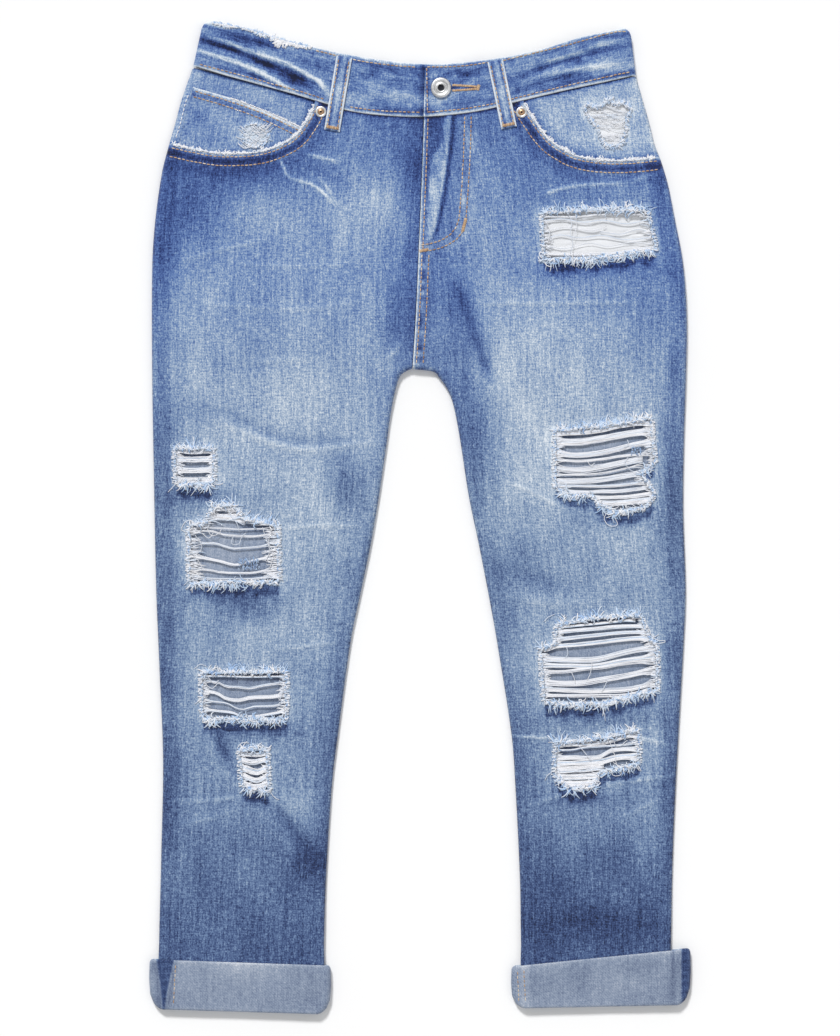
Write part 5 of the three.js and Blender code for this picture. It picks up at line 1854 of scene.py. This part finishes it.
def piece_waistband():
    """One strip, from under the button round the back to the buttonhole."""
    turn_angles = np.linspace(0, math.pi / 2, 7)
    columns = []  # each: fraction across, front or back, angle of the side fold, plies down

    low0, low1 = BAND_LOW["right"][0], BAND_LOW["left"][0]

    def across(from_x, to_x, step, half, level=0.0):
        count = max(2, int(abs(to_x - from_x) / step))
        for x in np.linspace(from_x, to_x, count):
            columns.append(((x - low0) / (low1 - low0), half, None, level))

    across(UNDERLAP_X, OVERLAP_X - 2, 4, 1, 1.0)
    across(OVERLAP_X - 4, OVERLAP_X - 8, 0.8, 1)
    across(OVERLAP_X - 9, -160, 1.5, 1)
    columns += [(0.0, 1, a, 0) for a in turn_angles[::-1]] + [(0.0, -1, a, 0) for a in turn_angles[1:]]
    across(-160, 152, 5, -1)
    columns += [(1.0, -1, a, 0) for a in turn_angles[::-1]] + [(1.0, 1, a, 0) for a in turn_angles[1:]]
    across(152, OVERLAP_X + 6, 1.5, 1)
    across(OVERLAP_X + 5.4, OVERLAP_X, 0.6, 1)

    s = np.array([0, 0.012, 0.035] + list(np.linspace(0.07, 0.93, 20)) + [0.965, 0.988, 1])
    edge = np.clip(np.minimum(s, 1 - s) * 40 / 1.4, 0, 1)
    rounding = 0.85 * (1 - np.sqrt(np.clip(1 - (1 - edge) ** 2, 0, 1)))
    corner = np.interp(s, [0, 0.85, 0.93, 1], [0, 0, 1, 4])
    top0, top1 = WAIST_TOP[0][0], WAIST_TOP[-1][0]
    surfaces, uv, shade = [], None, None
    for depth in (0.0, BAND):
        grid = np.zeros((len(s), len(columns), 3))
        for j, (fraction, half, angle, level) in enumerate(columns):
            xb, xt = low0 + (low1 - low0) * fraction, top0 + (top1 - top0) * fraction
            radius = BAND_TOP - BAND_SEAM if half > 0 else BAND_SEAM - SEAT_LIFT
            inward = 1 if fraction < 0.5 else -1
            x = xb + (xt - xb) * s
            y = waist_seam(xb) + (waist_top(xt) - waist_seam(xb)) * s
            soften = rounding * (1 if depth == 0 else -1)
            if angle is None:
                if half > 0:
                    z = BAND_TOP - level * (BAND + GAP) - depth + band_relief(x, y) - soften
                else:
                    z = SEAT_LIFT + depth + soften
            else:
                x = x + inward * (radius - (radius - depth) * math.cos(angle) + corner)
                z = BAND_SEAM + half * (radius - depth) * math.sin(angle) - half * soften * math.sin(angle)
                if half > 0 and angle > 1.5:
                    z = z + band_relief(x, y)
            grid[:, j] = np.stack([x, y, z + 0 * x], 1)
        surfaces.append(grid)
        if depth == 0:
            place = np.concatenate([[0], np.cumsum(np.linalg.norm(np.diff(grid[5], axis=0), axis=1))])
            uv = np.stack([np.broadcast_to(s[:, None] * 40, grid.shape[:2]),
                           np.broadcast_to(place, grid.shape[:2])], -1)
            shade = band_fade(grid[..., 0], grid[..., 1])
    band = grid_wall("waistband_cloth", *surfaces, denim_faces(), fade=shade, grain=uv)
    keep(band, "denim", "waistband")
    face = lambda x, y: BAND_TOP + band_relief(x, y)
    rows = [
        [(-86, 385), (-49.5, 376.6), (-20, 372.6), (-3.6, 371.3)],
        [(5.6, 371.4), (34, 372.2), (56, 375.3), (71, 377.6), (121, 389.6), (157.5, 399.6), (170, 400.6)],
        [(-182, 373.6), (-142, 363.2), (-100, 351.6), (-79, 345)], [(-58, 338.6), (-33, 335.4), (0, 334)],
        [(5.6, 334.2), (36, 337), (62, 341.6), (78.4, 345.8), (125, 357), (173, 367.4)],
        [(6.2, 335), (5.8, 353), (5.4, 371)],
    ]
    batches = [stitches(curve_through(row, 2), face, seed=140 + i) for i, row in enumerate(rows)]
    for side in (-1, 1):
        start, end = np.array([26.5, BUTTON[1] + 2.3 * side]), np.array([48.0, BUTTON[1] + 0.9 * side])
        batches.append(bartack(start, end, face, 1.5, 12 + side))
    batches.append(bartack((47.6, BUTTON[1] - 2.0), (48.6, BUTTON[1] + 2.4), face, 2.2, 15))
    sewn = sewn_on("waistband_stitches", batches, "thread")
    x = np.linspace(-172, -90, 90)
    edge = np.stack([x, waist_top(x) - 0.6], 1)
    torn = []
    for k, (reach, tint, up) in enumerate(((2.2, 0.45, 1), (3.4, 0.75, -1), (1.8, 0.95, -1))):
        out = np.tile([0.12, 1.0 * up], (len(edge), 1))
        torn.append(frizz(edge, out, reach, 2.4, face, 700 + k, 0.8, (tint, 0.15), 5, 0.3))
    worn = edge[55:85]
    torn.append(frizz(worn, np.tile([-0.2, -1.0], (30, 1)), 6.5, 5, face, 710, 0.9, (0.96, 0.05), 6, -0.4))
    yarn = sewn_on("waistband_yarn", torn, "yarn")


CUFF_IN = ([0, 0.1, 0.3, 0.6, 0.94, 1], [9, 4, 0.8, 0, 0.4, 1.6])


def cuff_relief(x, y, s):
    """What a cuff's upper face adds to its flat height."""
    z = 0.35 * soft_noise(x, y, (30, 22), 111) + 0.14 * soft_noise(x, y, (9, 12), 112)
    return z - 0.35 * bump(s, 0.93, 0.03)


def piece_cuffs():
    for side in SIDES:
        low, high = (np.array(v, float) for v in CUFFS[side])
        radius = CUFF_HEIGHT / 2
        s = np.array([0, 0.015, 0.04, 0.08] + list(np.linspace(0.13, 0.88, 16)) + [0.93, 0.965, 0.987, 1])
        ends_in = np.interp(s, *CUFF_IN)
        edge = np.clip(np.minimum(s, 1 - s) * 40 / 1.6, 0, 1)
        rounding = 1.0 * (1 - np.sqrt(1 - (1 - edge) ** 2))
        angles = np.linspace(0, math.pi / 2, 8)
        flats = np.concatenate([
            np.linspace(0, 0.14, 30, endpoint=False), np.linspace(0.14, 0.86, 44, endpoint=False),
            np.linspace(0.86, 1, 24),
        ])
        columns = [("a", 1, a, 1) for a in angles] + [("f", 1, f, 1) for f in flats[1:-1]]
        columns += [("b", 1, a, 1) for a in angles[::-1]] + [("b", -1, a, -1) for a in angles[1:]]
        columns += [("f", -1, f, -1) for f in flats[-2:0:-3]] + [("a", -1, a, -1) for a in angles[::-1][:-1]]
        grids = []
        for depth in (0.0, ROLL):
            grid = np.zeros((len(s), len(columns), 3))
            box = low[None, :] + (high - low)[None, :] * s[:, None]
            x0, y0, x1, y1 = box.T
            a0, a1 = x0 + ends_in, x1 - ends_in
            soften = rounding * (1 if depth == 0 else -1)
            for j, (kind, half, v, up) in enumerate(columns):
                if kind == "f":
                    x = a0 + radius + (a1 - a0 - 2 * radius) * v
                    y = y0 + (y1 - y0) * (x - x0) / (x1 - x0)
                    if up > 0:
                        z = CUFF_HEIGHT - depth - soften + cuff_relief(x, y, s)
                    else:
                        z = depth + soften
                else:
                    inward = 1 if kind == "a" else -1
                    round_by = (radius - depth - soften * 0.8)
                    x = (a0 if kind == "a" else a1) + inward * (radius - round_by * math.cos(v))
                    y = y0 + (y1 - y0) * (x - x0) / (x1 - x0)
                    z = radius + up * round_by * math.sin(v)
                    if up > 0:
                        z = z + cuff_relief(x, y, s) * math.sin(v) ** 2
                grid[:, j] = np.stack([x, y, z + 0 * x], 1)
            grids.append(grid)
        x, y = grids[0][..., 0], grids[0][..., 1]
        wide = np.broadcast_to(s[:, None], x.shape)
        shade = 0.545 + 0.05 * soft_noise(x, y, (22, 16), 113)
        shade = shade + 0.16 * np.exp(-((1 - wide) * 40 / 2.2)) + 0.06 * np.exp(-(wide * 40 / 3))
        if side == "right":
            shade = shade + 0.10 * smooth(0.5, 1, wide) * smooth(-190, -150, x) * (1 - smooth(-130, -100, x))
            middle, half = -211.5 + 1.5 * wide, 0.8 + 6.2 * wide**1.3
            blue = 1 - smooth(half - 0.9, half + 0.9, np.abs(x - middle))
            shade = shade - 0.10 * bump(np.abs(x - middle) - half, 2.5, 2.0)
        else:
            middle = 219.5
            blue = smooth(middle - 4.5, middle - 3.2, x)
            shade = shade - 0.12 * bump(x, 208.5, 1.6) + 0.10 * bump(x, 85, 5)
        shade = shade + (0.30 + 0.04 * np.sin(y) - shade) * blue
        uv = np.stack([x + 400, y + 600], -1)
        cuff = grid_wall(
            f"cuff_cloth_{side}", grids[0], grids[1],
            [material("cuff"), material("denim"), material("edge")], closed=True,
            fade=shade, grain=uv, right_side=blue,
        )
        keep(cuff, "denim_inside", f"cuff_{side}")
        face = lambda px, py: CUFF_HEIGHT + cuff_relief(px, py, 0.5)
        if side == "left":
            rows = [[(81.5, -399), (80.3, -374)], [(86.8, -399), (85.6, -373)]]
        else:
            rows = [[(-203.2, -401), (-201.6, -369)]]
        batches = [stitches(np.array(row, float), face, seed=160 + i, width=0.36) for i, row in enumerate(rows)]
        sewn = sewn_on(f"cuff_stitches_{side}", batches, "thread", "denim_inside")


def loop_strip(name, start, end, heights, thickness, under, node):
    """A belt loop: a folded strip with two rows of stitches, and bars of thread where it ends."""
    a, b = np.array(start, float), np.array(end, float)
    along = (b - a) / np.linalg.norm(b - a)
    side = np.array([-along[1], along[0]])
    t, v = np.linspace(0, 1, 44), np.linspace(-1, 1, 15)
    length = np.linalg.norm(b - a)
    profile = np.interp(t, np.linspace(0, 1, len(heights)), heights)
    edge = np.clip((1 - np.abs(v)) * LOOP_WIDTH / 2 / 0.8, 0, 1)
    ends = np.clip(np.minimum(t, 1 - t) * length / 0.8, 0, 1)
    dip = 0.5 * (1 - np.sqrt(1 - (1 - edge) ** 2))[None] + 0.5 * (1 - np.sqrt(1 - (1 - ends) ** 2))[:, None]
    dip = dip + 0.22 * bump(np.abs(v), 0.66, 0.12)[None]
    grids = []
    for k, away in enumerate((0.0, thickness)):
        xy = a + (b - a) * t[:, None, None] + side * (v * LOOP_WIDTH / 2)[None, :, None]
        z = profile[:, None] + thickness - away + (dip * (-1 if k == 0 else 0.5))
        if under:
            z = profile[:, None] + away + (dip * (1 if k == 0 else -0.5))
        grids.append(np.concatenate([xy, z[..., None]], -1))
    x, y = grids[0][..., 0], grids[0][..., 1]
    shade = 0.60 + 0.42 * bump((1 - np.abs(v)) * 6.5, 0, 1.3)[None] - 0.24 * bump(np.abs(v), 0.5, 0.2)[None]
    shade = shade + 0.06 * soft_noise(x, y, (5, 9), 121)
    shade = shade + 0.10 * bump(t[:, None], 0.5, 0.3)
    uv = np.stack([np.broadcast_to(v * LOOP_WIDTH / 2 + 400, x.shape),
                   np.broadcast_to(t[:, None] * length + 600, x.shape)], -1)
    strip = grid_wall(name, grids[0], grids[1], denim_faces(), fade=shade, grain=uv)
    keep(strip, "denim", node)

    def face(px, py):
        share = np.clip(((px - a[0]) * along[0] + (py - a[1]) * along[1]) / length, 0, 1)
        z = np.interp(share, np.linspace(0, 1, len(heights)), heights)
        return z + (thickness - 0.15 if not under else 0.15)

    rows = [np.array([a + along * 3 + side * k, b - along * 3 + side * k]) for k in (-4.3, 4.3)]
    batches = [stitches(row, face, seed=170 + i) for i, row in enumerate(rows)]
    for place in (a + along * 2.2, b - along * 2.6)[0 if under else 1:]:
        batches.append(bartack(place - side * 5.2, place + side * 5.2, face, 2.4, 11))
    if under:
        turn_under(batches, face)
    sewn = sewn_on(name + "_stitches", batches, "thread")


def piece_loops():
    on_band = BAND_TOP + GAP
    heights = [on_band, on_band + 0.5, on_band + 0.7, on_band + 0.5, on_band]
    for side in SIDES:
        loop_strip(f"belt_loop_cloth_front_{side}", *FRONT_LOOPS[side], heights, 1.2, False,
                   f"belt_loop_front_{side}")
    for place, x in BACK_LOOPS.items():
        top = float(waist_top(x)) - 1
        loop_strip(f"belt_loop_cloth_back_{place}", (x, top), (x, top - 62), [0.02, 0.02], 1.0, True,
                   f"belt_loop_back_{place}")


def piece_back_pockets(cloth_size):
    for side in SIDES:
        outline = curve_free([(SIGN[side] * x, y) for x, y in BACK_POCKET])
        ring = np.vstack([outline, outline[:1]])

        def face(x, y, side):
            edge = np.abs(distance_to(x, y, ring))
            return 0.02 + 0.18 * bump(edge, 2.4, 0.8)

        def fade(x, y, side):
            edge = np.abs(distance_to(x, y, ring))
            top = np.abs(y - (248 + (np.abs(x) - 48) * 16 / 117))
            shade = 0.62 + 0.22 * np.exp(-edge / 1.1) - 0.10 * bump(edge, 5, 3)
            return shade + 0.05 * soft_noise(x, y, (20, 26), 131) - 0.06 * bump(top, 8, 5)

        pocket = cloth_piece(
            f"back_pocket_cloth_{side}", outline, [], cloth_size, face, side,
            denim_faces(), fade, underside=True, thickness=0.98,
        )
        keep(pocket, "denim", f"back_pocket_{side}")
        batches = []
        for i, d in enumerate((2.4, 8.0)):
            ring_in = offset_ring(outline, d)
            good = inside(ring_in[:, 0], ring_in[:, 1], outline)
            good &= np.abs(distance_to(ring_in[:, 0], ring_in[:, 1], ring)) > d - 0.4
            row = np.vstack([ring_in[good], ring_in[good][:1]])
            batches.append(stitches(row, lambda x, y: 0.05 + 0 * x, seed=180 + i))
        turn_under(batches, lambda x, y: 0.05 + 0 * x)
        sewn = sewn_on(f"back_pocket_stitches_{side}", batches, "thread")
        lay(outline, [])


# ---- Button and rivets ----
def turned_piece(name, place, low, profile, materials, inner_radii):
    """A round metal piece: a disc drawn up and in through a profile of radius and height."""
    bpy.ops.object.select_all(action="DESELECT")
    radius, height = profile[0]
    bpy.ops.mesh.primitive_circle_add(
        vertices=48, radius=radius * MM, fill_type="NGON",
        location=(place[0] * MM, place[1] * MM, (low + height) * MM),
    )
    piece = bpy.context.active_object
    piece.name = name
    bpy.ops.object.transform_apply(location=True, rotation=True, scale=True)
    bpy.ops.object.mode_set(mode="EDIT")
    bpy.ops.mesh.select_all(action="SELECT")
    centre = (place[0] * MM, place[1] * MM, 0)
    for new_radius, new_height in profile[1:]:
        bpy.ops.mesh.extrude_region_move(
            TRANSFORM_OT_translate={"value": (0, 0, (new_height - height) * MM)}
        )
        share = new_radius / radius
        bpy.ops.transform.resize(value=(share, share, 1), center_override=centre)
        radius, height = new_radius, new_height
    bpy.ops.mesh.select_all(action="SELECT")
    bpy.ops.mesh.normals_make_consistent(inside=False)
    bpy.ops.object.mode_set(mode="OBJECT")
    bpy.ops.object.shade_smooth_by_angle(angle=math.radians(40))
    for each in materials:
        piece.data.materials.append(material(each))
    for face in piece.data.polygons:
        far = math.hypot(face.center.x / MM - place[0], face.center.y / MM - place[1])
        face.material_index = sum(far < r for r in inner_radii)
    return piece


def piece_metal():
    # The innermost faces of the button and rivets take the dark metal: painted shade in their hollow centres.
    button = turned_piece(
        "button_metal", BUTTON, 8.55,
        [(1.8, -2.35), (1.8, 0), (7.6, 0), (8.3, 0.35), (8.5, 0.8), (8.4, 1.3), (8.0, 1.7), (7.2, 1.95),
         (6.2, 1.95), (5.4, 1.7), (5.0, 1.35), (4.6, 1.3), (4.2, 1.5), (3.8, 1.75), (3.3, 1.8), (2.9, 1.6),
         (2.6, 1.1), (2.4, 0.6), (1.6, 0.4), (0.8, 0.36), (0.1, 0.36)],
        ["button metal", "pit_shade"], [2.2],
    )
    keep(button, "metal", "button")
    for side in SIDES:
        rivet = turned_piece(
            f"rivet_metal_{side}", RIVETS[side], 8.35,
            [(3.9, 0), (4.4, 0.15), (4.6, 0.45), (4.5, 0.8), (4.1, 1.05), (3.5, 1.12), (3.0, 1.0),
             (2.7, 0.75), (2.4, 0.8), (2.1, 1.15), (1.6, 1.45), (1.0, 1.55), (0.8, 1.4), (0.7, 1.1), (0.1, 1.05)],
            ["button metal", "copper", "pit_shade"], [2.75, 0.85],
        )
        keep(rivet, "metal", f"rivet_{side}")


# ---- Operators ----
class JeansSizes(bpy.types.PropertyGroup):
    """Sizes that a user may change."""

    front_mesh: FloatProperty(
        name="Front cloth mesh", description="Distance between the points of the front panels",
        default=2.7 * MM, min=MM, unit="LENGTH",
    )
    back_mesh: FloatProperty(
        name="Back cloth mesh", description="Distance between the points of the back panels",
        default=3.4 * MM, min=MM, unit="LENGTH",
    )
    camera_distance: FloatProperty(
        name="Camera height", description="Height of the camera over the jeans", default=3.6, unit="LENGTH",
    )
    frame_height: FloatProperty(
        name="Frame height", description="Length of floor that the camera sees", default=0.8547, unit="LENGTH",
    )
    floor_width: FloatProperty(
        name="Floor", description="Width of the floor", default=9.0, unit="LENGTH",
    )


class JeansColours(bpy.types.PropertyGroup):
    """Colours that a user may change."""

    floor: FloatVectorProperty(
        name="Floor", description="Colour of the floor, from 0 to 255", default=(250, 250, 250), size=3,
    )


class JEANS_OT_fronts(bpy.types.Operator):
    """Cuts the front leg panels, with their rips and stitching"""

    bl_idname = "jeans.fronts"
    bl_label = "Front panels"

    def execute(self, context):
        piece_fronts(context.scene.jeans_sizes.front_mesh / MM)
        return {"FINISHED"}


class JEANS_OT_backs(bpy.types.Operator):
    """Cuts the back leg panels, the yokes and the back pockets"""

    bl_idname = "jeans.backs"
    bl_label = "Back panels, yokes and back pockets"

    def execute(self, context):
        size = context.scene.jeans_sizes.back_mesh / MM
        piece_backs(size)
        piece_back_pockets(size)
        return {"FINISHED"}


class JEANS_OT_pockets(bpy.types.Operator):
    """Cuts the front pockets' facings and bags, and the coin pocket"""

    bl_idname = "jeans.pockets"
    bl_label = "Front pockets"

    def execute(self, context):
        piece_pockets(context.scene.jeans_sizes.front_mesh / MM)
        return {"FINISHED"}


class JEANS_OT_fly(bpy.types.Operator):
    """Makes the fly's facing, zip and shield"""

    bl_idname = "jeans.fly"
    bl_label = "Fly"

    def execute(self, context):
        piece_fly(context.scene.jeans_sizes.back_mesh / MM)
        return {"FINISHED"}


class JEANS_OT_waistband(bpy.types.Operator):
    """Makes the waistband and the belt loops"""

    bl_idname = "jeans.waistband"
    bl_label = "Waistband and loops"

    def execute(self, context):
        piece_waistband()
        piece_loops()
        return {"FINISHED"}


class JEANS_OT_cuffs(bpy.types.Operator):
    """Turns up the cuffs"""

    bl_idname = "jeans.cuffs"
    bl_label = "Cuffs"

    def execute(self, context):
        piece_cuffs()
        return {"FINISHED"}


class JEANS_OT_metal(bpy.types.Operator):
    """Turns the button and the rivets"""

    bl_idname = "jeans.metal"
    bl_label = "Button and rivets"

    def execute(self, context):
        piece_metal()
        return {"FINISHED"}


class JEANS_OT_stage(bpy.types.Operator):
    """Makes the floor, the lights and the camera"""

    bl_idname = "jeans.stage"
    bl_label = "Floor, lights and camera"

    def execute(self, context):
        sizes, scene = context.scene.jeans_sizes, context.scene
        bpy.ops.object.select_all(action="DESELECT")
        bpy.ops.mesh.primitive_plane_add(size=sizes.floor_width, location=(0, 0, -0.0005))
        floor = context.active_object
        floor.name = "floor"
        bpy.ops.object.transform_apply(location=True)
        floor.data.materials.append(floor_material(tuple(context.scene.jeans_colours.floor)))
        scene.view_settings.view_transform = "Standard"
        world = bpy.data.worlds.new("studio")
        world.use_nodes = True
        world.node_tree.nodes["Background"].inputs["Color"].default_value = (1.0, 1.0, 1.0, 1)
        world.node_tree.nodes["Background"].inputs["Strength"].default_value = 0.46
        scene.world = world
        for name, place, softness, strength in (
            ("key light", (-0.45, 1.35, 1.45), 11, 2.3),
            ("fill light", (0.9, -0.8, 2.0), 50, 0.35),
        ):
            light = bpy.data.lights.new(name, "SUN")
            light.angle = math.radians(softness)
            light.energy = strength
            lamp = bpy.data.objects.new(name, light)
            scene.collection.objects.link(lamp)
            lamp.location = place
            lamp.rotation_euler = (-Vector(place)).to_track_quat("-Z", "Y").to_euler()
        camera = bpy.data.cameras.new("camera")
        camera.sensor_width = 36
        camera.lens = camera.sensor_width * sizes.camera_distance / sizes.frame_height
        camera.clip_end = 50
        holder = bpy.data.objects.new("camera", camera)
        scene.collection.objects.link(holder)
        holder.location = (0, -0.0004, sizes.camera_distance + 0.006)
        scene.camera = holder
        return {"FINISHED"}


OPERATORS = (
    JEANS_OT_stage, JEANS_OT_fronts, JEANS_OT_backs, JEANS_OT_pockets, JEANS_OT_fly, JEANS_OT_waistband,
    JEANS_OT_cuffs, JEANS_OT_metal,
)


class JEANS_PT_panel(bpy.types.Panel):
    """Lists the steps of the making"""

    bl_idname = "JEANS_PT_panel"
    bl_label = "Ripped jeans"
    bl_space_type = "VIEW_3D"
    bl_region_type = "UI"
    bl_category = "Jeans"

    def draw(self, context):
        for group in (context.scene.jeans_sizes, context.scene.jeans_colours):
            for key in group.__annotations__:
                self.layout.prop(group, key)
        for operator in OPERATORS:
            self.layout.operator(operator.bl_idname)


CLASSES = (JeansSizes, JeansColours, *OPERATORS, JEANS_PT_panel)


def register():
    for cls in CLASSES:
        bpy.utils.register_class(cls)
    bpy.types.Scene.jeans_sizes = PointerProperty(type=JeansSizes)
    bpy.types.Scene.jeans_colours = PointerProperty(type=JeansColours)


def unregister():
    del bpy.types.Scene.jeans_colours
    del bpy.types.Scene.jeans_sizes
    for cls in reversed(CLASSES):
        bpy.utils.unregister_class(cls)


def main():
    register()
    for operator in OPERATORS:
        group, name = operator.bl_idname.split(".")
        getattr(getattr(bpy.ops, group), name)()


if __name__ == "__main__":
    main()
